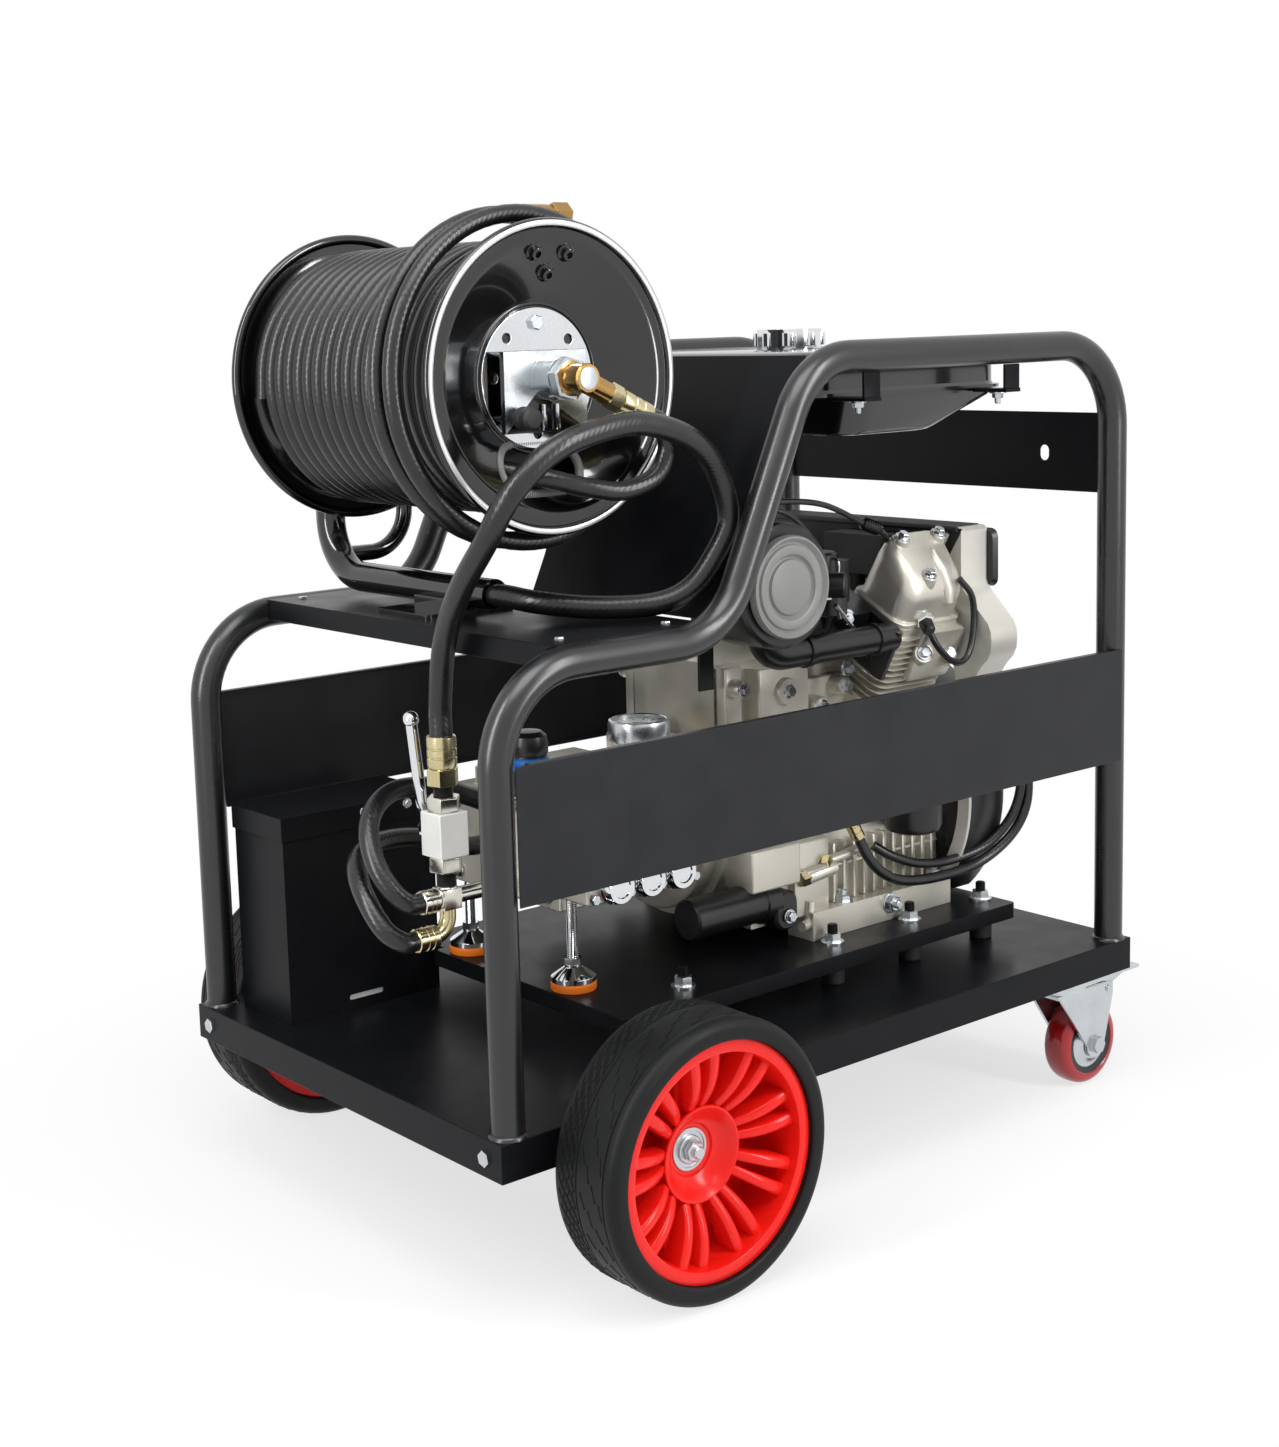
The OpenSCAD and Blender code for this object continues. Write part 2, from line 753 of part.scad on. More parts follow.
// Sheet box for the starter battery
box_x0 = tray_front + 35;
box_l = 191;
box_y0 = 138;
box_w = 98;
box_h = 222;
lid_skirt = 24;
module battery_box() {
    color(powder_black)
        difference() {
            translate([box_x0, box_y0, tray_top])
                cube([box_l, box_w, box_h]);
            translate([box_x0 + panel_sheet, box_y0 + panel_sheet, tray_top + panel_sheet])
                cube([box_l - 2 * panel_sheet, box_w - 2 * panel_sheet, box_h]);
            translate([box_x0 + box_l / 2, box_y0 - 1, tray_top + 14])
                rotate([-90, 0, 0])
                    round_slot(44, 6, panel_sheet + 2);
        }
}
module battery_box_lid() {
    outer = panel_sheet + seat_gap;
    color(powder_black)
        difference() {
            translate([box_x0 - outer, box_y0 - outer, tray_top + box_h - lid_skirt])
                cube([box_l + 2 * outer, box_w + 2 * outer, lid_skirt + panel_sheet]);
            translate([box_x0 - seat_gap, box_y0 - seat_gap, tray_top + box_h - lid_skirt - 1])
                cube([box_l + 2 * seat_gap, box_w + 2 * seat_gap, lid_skirt + 1]);
        }
}
module battery() {
    room = 4;
    low = tray_top + panel_sheet;
    color(rubber_black) {
        translate([box_x0 + panel_sheet + room, box_y0 + panel_sheet + room, low])
            cube([box_l - 2 * panel_sheet - 2 * room, box_w - 2 * panel_sheet - 2 * room, box_h - 50]);
        for (x = [box_x0 + 35, box_x0 + box_l - 35])
            translate([x, box_y0 + box_w / 2, low + box_h - 50])
                cylinder(r = 8, h = 18);
    }
}

// Tube stand: base run with an open mouth for the supply hose, an arm up the far side and a brace
module reel_stand() {
    arm = [[stand_mouth, stand_z], [stand_arm_y, stand_z], [stand_arm_y, reel_z - 20]];
    brace_in = 15;
    brace_y = stand_arm_y - brace_in;
    brace_z = stand_z + stand_bend - sqrt(pow(stand_bend, 2) - pow(stand_bend - brace_in, 2));
    brace = [[reel_x, brace_z], [reel_x + 125, brace_z], [reel_x + 4, reel_z - 10]];
    brace_r = 9;
    brace_bend = 45;
    housing_r = shaft_r + 12;
    housing_l = 48;
    color(gloss_black) {
        difference() {
            union() {
                translate([reel_x, 0, 0])
                    rotate([90, 0, 90])
                        bent_tube(arm, stand_tube_r, stand_bend);
                along_y([reel_x, stand_arm_y - housing_l / 2, reel_z])
                    cylinder(r = housing_r, h = housing_l);
                translate([0, brace_y, 0])
                    rotate([90, 0, 0])
                        bent_tube(brace, brace_r, brace_bend);
                translate([reel_x, 20, shelf_top])
                    round_plate(110, 90, 5, 6);
                translate([reel_x - 14, -15, shelf_top])
                    cube([28, 70, stand_z - shelf_top]);
            }
            along_y([reel_x, stand_mouth - 1, stand_z])
                cylinder(r = stand_bore_r, h = stand_bore + 1);
            along_y([reel_x, stand_arm_y - housing_l / 2 - 1, reel_z])
                cylinder(r = shaft_r + run_gap, h = housing_l + 2);
        }
    }
}

// Fixed hollow shaft with the lock bracket at its left end
module reel_shaft() {
    far = stand_arm_y + 26;
    lock = lock_pcd * [cos(lock_angle), sin(lock_angle)];
    color(zinc)
        translate([reel_x, 0, reel_z])
            difference() {
                union() {
                    along_y([0, -shaft_near, 0])
                        cylinder(r = shaft_r, h = shaft_near + far);
                    along_y([0, -lock_plate_face, 0])
                        translate([-52, -26, 0])
                            cube([98, 76, lock_plate_t]);
                }
                along_y([0, -shaft_near - 1, 0])
                    cylinder(r = shaft_bore + run_gap, h = shaft_near + far - 20);
                along_y([lock.x, -lock_plate_face - 1, lock.y])
                    cylinder(r = lock_pin_r + run_gap, h = lock_plate_t + 2);
            }
}

// Drum with end discs that turn on the shaft
module reel_drum() {
    wall = 3;
    disc = 14;
    color(gloss_black)
        translate([reel_x, 0, reel_z])
            difference() {
                along_y([0, -hub_face, 0])
                    cylinder(r = drum_r, h = 2 * hub_face);
                along_y([0, -hub_face + disc, 0])
                    cylinder(r = drum_r - wall, h = 2 * (hub_face - disc));
                along_y([0, -hub_face - 1, 0])
                    cylinder(r = shaft_r + run_gap, h = 2 * hub_face + 2);
            }
}

// Spun flange with a dish and a rolled rim
module spun_flange() {
    outer = flange_r - 2 * rim_bead;
    rotate_extrude() {
        polygon([
            [shaft_r + 4, 0], [dish_r0, 0], [dish_r1, dish], [outer + 2, dish],
            [outer + 2, dish + flange_sheet], [dish_r1 - 1, dish + flange_sheet],
            [dish_r0 - 1, flange_sheet], [shaft_r + 4, flange_sheet]
        ]);
        translate([flange_r - rim_bead, dish + 1])
            circle(r = rim_bead);
    }
}

// Flanges of the reel, the left one with a slot for the jumper hose
slot_at = [-8, -84];
slot_l = 96;
slot_w = 46;
module reel_flanges() {
    color(gloss_black)
        translate([reel_x, 0, reel_z]) {
            difference() {
                along_y([0, -hub_face, 0])
                    mirror([0, 0, 1])
                        spun_flange();
                along_y([slot_at.x, -hub_face - dish - 10, slot_at.y])
                    round_slot(slot_l, slot_w, dish + 20);
            }
            along_y([0, hub_face, 0])
                spun_flange();
        }
}

// Plated centre disc with the holes of the reel lock
module hub_plate() {
    lock_holes = 8;
    color(chrome_plate)
        translate([reel_x, 0, reel_z])
            difference() {
                along_y([0, -hub_plate_face, 0])
                    cylinder(r = dish_r0 - 4, h = hub_plate_t);
                along_y([0, -hub_plate_face - 1, 0])
                    cylinder(r = shaft_r + 4, h = hub_plate_t + 2);
                for (i = [0:lock_holes - 1])
                    rotate([0, -lock_angle - i * 360 / lock_holes, 0])
                        along_y([lock_pcd, -hub_plate_face - 1, 0])
                            cylinder(r = lock_pin_r + 1, h = hub_plate_t + 2);
            }
}

// Path of the wound hose at a travelled angle, which ends at the top of the reel
function wind_angle(a) = 90 + wind_turn - a;
function loose_at(angle) = loose_r + loose_slack * (1 - cos(angle)) / 2;
function wind_radius(a) =
    let (t = min(max((a - main_turn) / climb_turn, 0), 1))
    wind_r + (loose_at(wind_angle(a)) - wind_r) * smooth_step(t);
function wind_place(a) =
    wind_y0 - wind_pitch * min(a, main_turn + climb_turn / 2) / 360
    + loose_pitch * max(a - main_turn - climb_turn, 0) / 360;
function wind_outward(a) = [cos(wind_angle(a)), 0, sin(wind_angle(a))];
function wind_point(a) =
    [reel_x, 0, reel_z] + wind_radius(a) * wind_outward(a) + [0, wind_place(a), 0];

// Hose wound on the core in one unbroken tube; its ends run straight for one diameter
module wound_hose() {
    sides = 6;
    stops = [for (a = [0:ring_step:wind_turn]) a];
    middle = [for (a = stops) wind_point(a)];
    count = len(middle);
    start_run = reel_hose_d * unit(middle[0] - middle[1]);
    end_run = [reel_hose_d, 0, 0];
    path = concat([middle[0] + start_run], middle, [middle[count - 1] + end_run]);
    outward = concat([wind_outward(0)], [for (a = stops) wind_outward(a)], [wind_outward(wind_turn)]);
    points = [
        for (i = [0:len(path) - 1]) for (k = [0:sides - 1])
            let (a = 360 * k / sides)
            path[i] + reel_hose_d / 2 * (cos(a) * outward[i] + sin(a) * [0, 1, 0])
    ];
    half_turn = 180 / ring_step;
    near_turns = 4 * 360 / ring_step;
    gaps = [
        for (i = [0:len(path) - 1]) for (j = [i + half_turn:min(i + near_turns, len(path) - 1)])
            norm(path[i] - path[j]) - reel_hose_d
    ];
    echo(least_gap_of_the_wound_hose = min(gaps));
    color(rubber_black)
        ring_tube(points, len(path), sides);
}

// Inner layers of the hose as one plain core on the drum
module hose_core() {
    color(rubber_black)
        translate([reel_x, 0, reel_z])
            difference() {
                along_y([0, -core_near, 0])
                    cylinder(r = core_r, h = core_near + core_far);
                along_y([0, -core_near - 1, 0])
                    cylinder(r = drum_r + seat_gap, h = core_near + core_far + 2);
            }
}

// Elbow that turns on the shaft's end with its ferrule, and the fitting at the hose's free end
module reel_fittings() {
    collar = 12;
    spigot = 16;
    arm_r = 11;
    ferrule_l = 28;
    end = wind_point(wind_turn);
    color(brass) {
        translate([reel_x, 0, reel_z]) {
            along_y([0, -shaft_near - seat_gap, 0])
                cylinder(r = shaft_bore, h = spigot);
            along_y([0, -shaft_near - seat_gap - collar, 0])
                cylinder(r = shaft_r + 1, h = collar);
            along_y([0, -elbow_y - 12, 0])
                cylinder(r = 14, h = elbow_y + 12 - shaft_near - 1);
            translate([0, -elbow_y, 0])
                rotate([0, -elbow_slope, 0])
                    rotate([0, 90, 0]) {
                        cylinder(r = arm_r, h = 40);
                        translate([0, 0, 34])
                            hex_bar(12, 16);
                        translate([0, 0, 50])
                            cylinder(r = 12, h = 38);
                    }
        }
        along_x([end.x + reel_hose_d, end.y, end.z])
            difference() {
                union() {
                    cylinder(r = reel_hose_d / 2 + 2, h = ferrule_l);
                    translate([0, 0, ferrule_l])
                        hex_bar(outlet_r + 6, outlet_l + 2);
                }
                translate([0, 0, ferrule_l + 2])
                    cylinder(r = outlet_r, h = outlet_l + 1);
            }
    }
}

// Jumper hose from the elbow's ferrule into the left flange's slot
module jumper_hose() color(rubber_black) hose(jumper_route, jumper_hose_d, 8, 3, [0, 1, 0]);

// Spring plunger of the reel lock, drawn clear of the hub plate
module reel_lock_knob() {
    lock = lock_pcd * [cos(lock_angle), sin(lock_angle)];
    tip = hub_plate_face + 1.5;
    knob_l = 22;
    knob_at = lock_plate_face + lock_travel + 1;
    color(rubber_black)
        translate([reel_x + lock.x, 0, reel_z + lock.y]) {
            along_y([0, -knob_at - 1, 0])
                cylinder(r = lock_pin_r, h = knob_at + 1 - tip);
            along_y([0, -knob_at - knob_l, 0])
                cylinder(r = 11, h = knob_l);
        }
}

// Block of the ball valve, with the stem's bore at its far side
module valve_body() {
    color(zinc)
        difference() {
            translate([valve_x - valve_size / 2, valve_y - valve_size / 2, valve_low])
                cube([valve_size, valve_size, valve_high - valve_low]);
            along_y([valve_x, valve_y, valve_mid])
                cylinder(r = stem_r + run_gap, h = valve_size);
        }
}

// Bent lever with its stem in the block
module valve_lever() {
    back = valve_y + valve_size / 2;
    color(chrome_plate) {
        along_y([valve_x, valve_y + 2, valve_mid])
            cylinder(r = stem_r, h = valve_size / 2 + 22);
        translate([valve_x - 8, back + 12, valve_mid - 8])
            cube([16, 6, 28]);
        along_y([valve_x, back + 8, valve_mid])
            hex_bar(9, 10);
        translate([valve_x - 3, back + 15, valve_mid + 16])
            rotate([0, -6, 0]) {
                cylinder(r = 6, h = 92);
                translate([0, 0, 94])
                    sphere(r = 8);
            }
    }
}

// Fittings above and below the valve: ferrule, unions, tee, elbow and the rigid pipe to the pump
module valve_fittings() {
    ferrule_top = supply_route[0].z;
    pipe_r = 8;
    tee_half = 12;
    tee_side = 26;
    elbow_bend = 18;
    elbow_z = elbow_hose_route[0].z;
    elbow = [[0, 0], [0, elbow_z - tee_z], [elbow_hose_route[0].x - valve_x + 10, elbow_z - tee_z]];
    color(brass) {
        translate([valve_x, valve_y, valve_high]) {
            hex_bar(17, 15);
            translate([0, 0, 15])
                cylinder(r = 10, h = 10);
            translate([0, 0, 25])
                hex_bar(16, 18);
            translate([0, 0, 43])
                cylinder(r = supply_hose_d / 2 + 3, h = ferrule_top - valve_high - 43);
        }
        translate([valve_x, valve_y, tee_z]) {
            translate([0, 0, valve_low - tee_z - 16])
                hex_bar(17, 16);
            cylinder(r = 10, h = valve_low - tee_z - 16);
            translate([-tee_half, -tee_half, -tee_half])
                cube([2 * tee_half, 2 * tee_half, 2 * tee_half]);
            along_x([0, 0, 0])
                cylinder(r = pipe_r, h = regulator.x - regulator_half - valve_x);
            along_x([-tee_side, 0, 0])
                cylinder(r = pipe_r, h = tee_side);
            along_x([tee_hose_route[0].x - valve_x, 0, 0])
                cylinder(r = pump_hose_d / 2 + 2, h = 18);
            rotate([90, 0, 0])
                bent_tube(elbow, pipe_r, elbow_bend);
            along_x([elbow_hose_route[0].x - valve_x, 0, elbow_z - tee_z])
                cylinder(r = pump_hose_d / 2 + 2, h = 24);
        }
        for (end = [tee_hose_route[len(tee_hose_route) - 1], elbow_hose_route[len(elbow_hose_route) - 1]])
            along_x(end)
                cylinder(r = pump_hose_d / 2 + 2, h = pump_x0 - end.x);
    }
}

// Hoses from the tee and the elbow to the pump's front ports
module pump_hoses() {
    color(rubber_black) {
        hose(tee_hose_route, pump_hose_d, 10, 3, [0, 1, 0]);
        hose(elbow_hose_route, pump_hose_d, 10, 3, [0, 1, 0]);
    }
}

// Supply hose from the valve to the stand's tube
module supply_hose() color(rubber_black) hose(supply_route, supply_hose_d, 10, 3, [0, 1, 0]);

// Crankcase of the pump, with the bore of the drive shaft
module pump_crankcase() {
    color(casting)
        difference() {
            union() {
                translate([pump_x0, pump_y0, pump_low])
                    cube([pump_x1 - pump_x0, pump_y1 - pump_y0, pump_high - pump_low - 20]);
                translate([pump_x0 + 20, pump_y0 + 15, pump_low])
                    cube([pump_x1 - pump_x0 - 40, pump_y1 - pump_y0 - 40, pump_high - pump_low]);
                along_x([pump_x1, 0, crank_z])
                    cylinder(r = 90, h = engine_x0 - pump_x1);
            }
            along_x([pump_x0 + 30, 0, crank_z])
                cylinder(r = drive_r + run_gap, h = engine_x0 - pump_x0);
        }
}

// Manifold block on the pump's left side
module pump_manifold() {
    color(casting)
        translate([manifold_x0, manifold_y, manifold_low])
            cube([manifold_x1 - manifold_x0, pump_y0 - manifold_y, manifold_high - manifold_low]);
}

// Valve caps on the manifold
module manifold_caps() {
    middle = (manifold_x0 + manifold_x1) / 2;
    cap_h = 16;
    color(chrome_plate)
        for (i = [-1, 0, 1])
            along_y([middle + i * plunger_pitch, manifold_y - cap_h, cap_z]) {
                cylinder(r = 17, h = cap_h);
                translate([0, 0, cap_h - 4])
                    cylinder(r = 19, h = 4);
            }
}

// Levelling feet on the sub-base that carry the pump's front
feet = [[sub_base_x0 + 27, pump_y0 - 12, manifold_low], [sub_base_x0 + 28, pump_y1 - 27, pump_low]];
module levelling_feet() {
    foot_r = 24;
    pad = 8;
    cone = 16;
    for (f = feet)
        translate([f.x, f.y, sub_base_top]) {
            color(orange_pad)
                cylinder(r = foot_r, h = pad);
            color(chrome_plate) {
                translate([0, 0, pad])
                    cylinder(r1 = foot_r, r2 = 9, h = cone);
                cylinder(r = 6, h = f.z - sub_base_top);
            }
        }
}

// Pressure regulator at the manifold's front
module pressure_regulator() {
    block_l = manifold_x0 - regulator.x + regulator_half;
    color(casting)
        translate([regulator.x, regulator.y, 0]) {
            translate([-regulator_half, -regulator_half, regulator_low])
                cube([block_l, 2 * regulator_half, regulator_top - 30 - regulator_low]);
            translate([0, 0, regulator_top - 31])
                cylinder(r = 12, h = 20);
            translate([0, 0, regulator_top - 12])
                cylinder(r = regulator_stem_r, h = regulator_stem_l);
        }
}
module regulator_knob() {
    color(blue_ring)
        translate([regulator.x, regulator.y, regulator_top - 10])
            difference() {
                cylinder(r = 20, h = 65);
                translate([0, 0, -1])
                    cylinder(r = regulator_stem_r + run_gap, h = regulator_stem_l);
            }
}

// Gauge on a stem at the manifold's top
module pressure_gauge() {
    at = [manifold_x0 + 88, manifold_y + 18];
    gauge_r = 32;
    stem_h = 96;
    color(zinc)
        translate([at.x, at.y, manifold_high]) {
            cylinder(r = 7, h = stem_h);
            translate([0, 0, stem_h])
                cylinder(r = gauge_r, h = 24);
        }
}

// Crankcase of the engine with its feet and the drive shaft's bore
module engine_crankcase() {
    low = sub_base_top + foot_h;
    foot_x = engine_x0 + 95;
    color(casting)
        difference() {
            union() {
                translate([engine_x0 + 22, -engine_y, low])
                    cube([engine_x1 - engine_x0 - 22, 2 * engine_y, crank_z - low + block_h]);
                along_x([engine_x0, 0, crank_z])
                    cylinder(r = 100, h = 24);
                translate([engine_x0 + 20, -crown_y, crank_z])
                    cube([engine_x1 - engine_x0 - 38, 2 * crown_y, crown_h]);
                for (y = [-137, 97])
                    translate([foot_x, y, sub_base_top])
                        cube([engine_x1 - foot_x, 40, foot_h + 8]);
            }
            along_x([engine_x0 - 1, 0, crank_z])
                cylinder(r = drive_r + run_gap, h = engine_x1 - engine_x0 + 2);
        }
}

// Children on both cylinder axes, with +Z along the cylinder
module on_cylinders() {
    translate([near_cyl_x, 0, crank_z])
        rotate([cylinder_lean, 0, 0])
            children();
    translate([far_cyl_x, 0, crank_z])
        rotate([-cylinder_lean, 0, 0])
            mirror([0, 1, 0])
                children();
}
barrel_r = 48;
module engine_cylinders() {
    fins = 6;
    fin_pitch = (barrel_to - barrel_from) / fins;
    color(casting)
        difference() {
            on_cylinders() {
                translate([0, 0, barrel_from])
                    cylinder(r = barrel_r, h = barrel_to - barrel_from);
                for (i = [0:fins - 1])
                    translate([0, 0, barrel_from + (i + 0.5) * fin_pitch])
                        round_plate(head_fin_l, 96, 4, 14);
            }
            translate([engine_x0, -crown_y - seat_gap, crank_z])
                cube([engine_x1 - engine_x0, 2 * (crown_y + seat_gap), crown_h + seat_gap]);
            translate([engine_x0, -engine_y - seat_gap, crank_z])
                cube([engine_x1 - engine_x0 + 1, 2 * (engine_y + seat_gap), block_h + seat_gap]);
        }
}
module cylinder_heads() {
    fins = 4;
    fin_pitch = (head_to - barrel_to - 6) / fins;
    color(casting)
        on_cylinders() {
            translate([0, 0, barrel_to])
                round_plate(100, 86, head_to - barrel_to, 12);
            for (i = [0:fins - 1])
                translate([0, 0, barrel_to + (i + 0.5) * fin_pitch])
                    round_plate(head_fin_l, 100, 4, 14);
        }
}
module valve_covers() {
    lip = 6;
    slope = 30;
    color(casting)
        on_cylinders() {
            translate([0, 0, head_to])
                round_plate(106, 84, lip, 16);
            hull() {
                translate([0, 0, head_to + lip - 0.01])
                    round_plate(100, 76, 8, 22);
                translate([0, 0, cover_to - lip])
                    rotate([slope, 0, 0])
                        round_plate(88, 70, lip, 24);
            }
        }
}

// Air cleaner's canister and its elbow to the left head
air_back = -118;
air_front = -196;
module air_cleaner() {
    elbow_z = air_z - 80;
    elbow_y = -150;
    elbow_r = 16;
    bracket_y = -crown_y - seat_gap;
    color(rubber_black) {
        along_y([air_x, air_front, air_z])
            cylinder(r = air_r, h = air_back - air_front);
        along_x([air_x + 8, elbow_y, elbow_z])
            cylinder(r = elbow_r, h = near_cyl_x - head_fin_l / 2 - seat_gap - air_x - 8);
        translate([air_x + 8, elbow_y, elbow_z]) {
            cylinder(r = elbow_r, h = 40);
            sphere(r = elbow_r);
        }
        translate([air_x - 18, air_back - 6, air_z - 60])
            cube([36, bracket_y - air_back + 6, 32]);
        translate([air_x - 10, bracket_y - 4, air_z - 122])
            cube([20, 4, 92]);
    }
}
module air_cleaner_cap() {
    color(zinc) {
        along_y([air_x, air_front - 10, air_z])
            cylinder(r = air_r - 13, h = 10);
        along_y([air_x, air_front - 14, air_z])
            cylinder(r = air_r - 34, h = 5);
    }
}

// Muffler between the heads with its guard, on two pipes from the block
muffler_low = crank_z + 257;
module muffler() {
    post_low = crank_z + crown_h + seat_gap;
    post_r = 9;
    color(gloss_black) {
        translate([near_cyl_x + 8, -76, muffler_low])
            cube([46, 90, 46]);
        for (y = [-28, 4])
            translate([near_cyl_x + 20, y, post_low])
                cylinder(r = post_r, h = muffler_low - post_low + 1);
    }
}

// Blower housing round the flywheel, flat at the bottom, with a hood that sends air to both cylinders
module fan_housing() {
    hood = [
        [-140, 0], [-150, 110], [-190, 170], [-198, 184], [-198, 203], [-154, 247], [-154, 313],
        [154, 313], [154, 247], [198, 203], [198, 184], [190, 170], [150, 110], [140, 0]
    ];
    hood_t = 45;
    cover_low = 242;
    cover_h = 67;
    cavity_r = crank_z - fan_low - fan_wall;
    color(rubber_black)
        difference() {
            union() {
                along_x([engine_x1, 0, crank_z])
                    cylinder(r = fan_r, h = fan_x1 - engine_x1);
                translate([engine_x1, 0, crank_z])
                    rotate([90, 0, 90])
                        linear_extrude(hood_t)
                            polygon(hood);
                translate([engine_x1 + hood_t - 1, -fan_r, crank_z + cover_low])
                    cube([fan_x1 - engine_x1 - hood_t + 1, 2 * fan_r, cover_h]);
            }
            translate([engine_x1 - 1, -fan_r, crank_z - fan_r - 1])
                cube([fan_x1 - engine_x1 + 2, 2 * fan_r, fan_low - crank_z + fan_r + 1]);
            along_x([engine_x1 + fan_wall, 0, crank_z])
                cylinder(r = cavity_r, h = fan_x1 - engine_x1);
            along_x([engine_x1 - 1, 0, crank_z])
                cylinder(r = drive_r + 6, h = fan_wall + 2);
        }
}

// Drive shaft from the flywheel through the engine to the pump
module drive_shaft() {
    flywheel_r = crank_z - fan_low - fan_wall - 8;
    color(zinc) {
        along_x([pump_x0 + 32, 0, crank_z])
            cylinder(r = drive_r, h = fan_x1 - 12 - pump_x0 - 32);
        along_x([engine_x1 + fan_wall + 8, 0, crank_z])
            cylinder(r = flywheel_r, h = 24);
    }
}

// Fuel tank of two pressed halves, with a seam and a filler neck
module fuel_tank() {
    middle = [tank_x0 + tank_l / 2, 0];
    bowl_x0 = 66;
    bowl_l = tank_l - 174;
    color(gloss_black) {
        hull() {
            translate([tank_x0 + bowl_x0 + 6 + bowl_l / 2, 0, tank_z0])
                round_plate(bowl_l, tank_w - 36, 8, 30);
            translate([tank_x0 + (bowl_x0 + tank_l) / 2, 0, seam_z - 8])
                round_plate(tank_l - bowl_x0 - 8, tank_w - 14, 9, 36);
        }
        translate([middle.x, 0, seam_z])
            round_plate(tank_l - 14, tank_w - 14, tank_h - 56, 36);
        translate([middle.x, 0, seam_z])
            round_plate(tank_l, tank_w, 4, 40);
        translate([middle.x, 0, tank_z1 - 14])
            round_plate(tank_l - 34, tank_w - 34, 14, 30);
        translate([cap_at.x, cap_at.y, tank_z1])
            cylinder(r = neck_r, h = 9);
    }
}

// Plated filler cap
module fuel_cap() {
    lobes = 8;
    color(chrome_plate)
        translate([cap_at.x, cap_at.y, tank_z1 + seat_gap])
            difference() {
                union() {
                    cylinder(r = cap_r - 4, h = 22);
                    for (i = [0:lobes - 1])
                        rotate([0, 0, i * 360 / lobes])
                            translate([cap_r - 8, 0, 4])
                                cylinder(r = 8, h = 14);
                }
                translate([0, 0, -1])
                    cylinder(r = neck_r + run_gap, h = 10 + seat_gap + 1);
            }
}

// Brackets from the top runs to the tank's seam
module tank_brackets() {
    tab = 24;
    lap = 5;
    tab_least = 12;
    hanger = 3;
    inner = tank_w / 2 - lap;
    outer = max(frame_y + hanger, inner + tab_least);
    tube_low = top_z - tube_r;
    color(powder_black)
        for (s = [0, 1])
            on_side(s == 1)
                for (x = [tank_x0 + 40, tank_x0 + tank_l - 64]) {
                    translate([x, -outer, seam_z - 4])
                        cube([tab, outer - inner, 4]);
                    translate([x, -outer + hanger / 2, seam_z - 4])
                        cube([tab, hanger, tube_low - seam_z + 4 - seat_gap]);
                }
}

base_tray();
left_side_frame();
right_side_frame();
left_side_panel();
right_side_panel();
rear_panel();
reel_shelf();
console();
front_axle();
sub_base();
rubber_mounts();
chassis_bolts();
battery_box();
battery_box_lid();
battery();
caster_plates();
reel_stand();
reel_shaft();
valve_body();
valve_fittings();
pump_hoses();
supply_hose();
engine_crankcase();
engine_cylinders();
cylinder_heads();
valve_covers();
air_cleaner();
air_cleaner_cap();
muffler();
fan_housing();
fuel_tank();
tank_brackets();
pump_crankcase();
pump_manifold();
manifold_caps();
levelling_feet();
pressure_regulator();
pressure_gauge();
left_wheel_rim();
left_wheel_tyre();
right_wheel_rim();
right_wheel_tyre();
left_caster_fork();
left_caster_wheel();
left_brake_pedal();
right_caster_fork();
right_caster_wheel();
right_brake_pedal();
reel_drum();
reel_flanges();
hub_plate();
wound_hose();
hose_core();
jumper_hose();
reel_fittings();
reel_lock_knob();
valve_lever();
regulator_knob();
fuel_cap();
drive_shaft();
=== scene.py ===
import json
from functools import partial
from math import atan2, copysign, cos, degrees, hypot, pi, radians, sin, tan

import bmesh
import bpy
from mathutils import Euler, Matrix, Vector

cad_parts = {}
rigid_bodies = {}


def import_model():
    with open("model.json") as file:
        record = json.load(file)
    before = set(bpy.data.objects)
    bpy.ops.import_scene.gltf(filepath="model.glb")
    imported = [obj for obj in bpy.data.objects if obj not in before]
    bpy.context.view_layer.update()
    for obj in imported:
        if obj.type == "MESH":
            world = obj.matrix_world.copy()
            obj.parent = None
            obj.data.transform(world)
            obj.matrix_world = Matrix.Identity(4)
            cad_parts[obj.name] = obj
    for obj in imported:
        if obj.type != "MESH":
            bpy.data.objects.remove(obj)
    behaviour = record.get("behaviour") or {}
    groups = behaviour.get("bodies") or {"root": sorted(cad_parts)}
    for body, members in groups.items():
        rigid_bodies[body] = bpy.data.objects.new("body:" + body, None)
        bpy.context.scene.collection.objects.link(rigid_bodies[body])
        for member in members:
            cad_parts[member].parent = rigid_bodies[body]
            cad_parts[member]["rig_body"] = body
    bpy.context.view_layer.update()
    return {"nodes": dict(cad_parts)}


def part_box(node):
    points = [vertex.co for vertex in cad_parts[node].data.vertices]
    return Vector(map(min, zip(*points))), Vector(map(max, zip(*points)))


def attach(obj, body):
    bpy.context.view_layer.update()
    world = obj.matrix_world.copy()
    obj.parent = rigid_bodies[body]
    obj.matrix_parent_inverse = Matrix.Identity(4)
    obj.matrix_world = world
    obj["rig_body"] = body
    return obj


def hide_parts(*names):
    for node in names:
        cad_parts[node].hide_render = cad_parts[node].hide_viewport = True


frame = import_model()

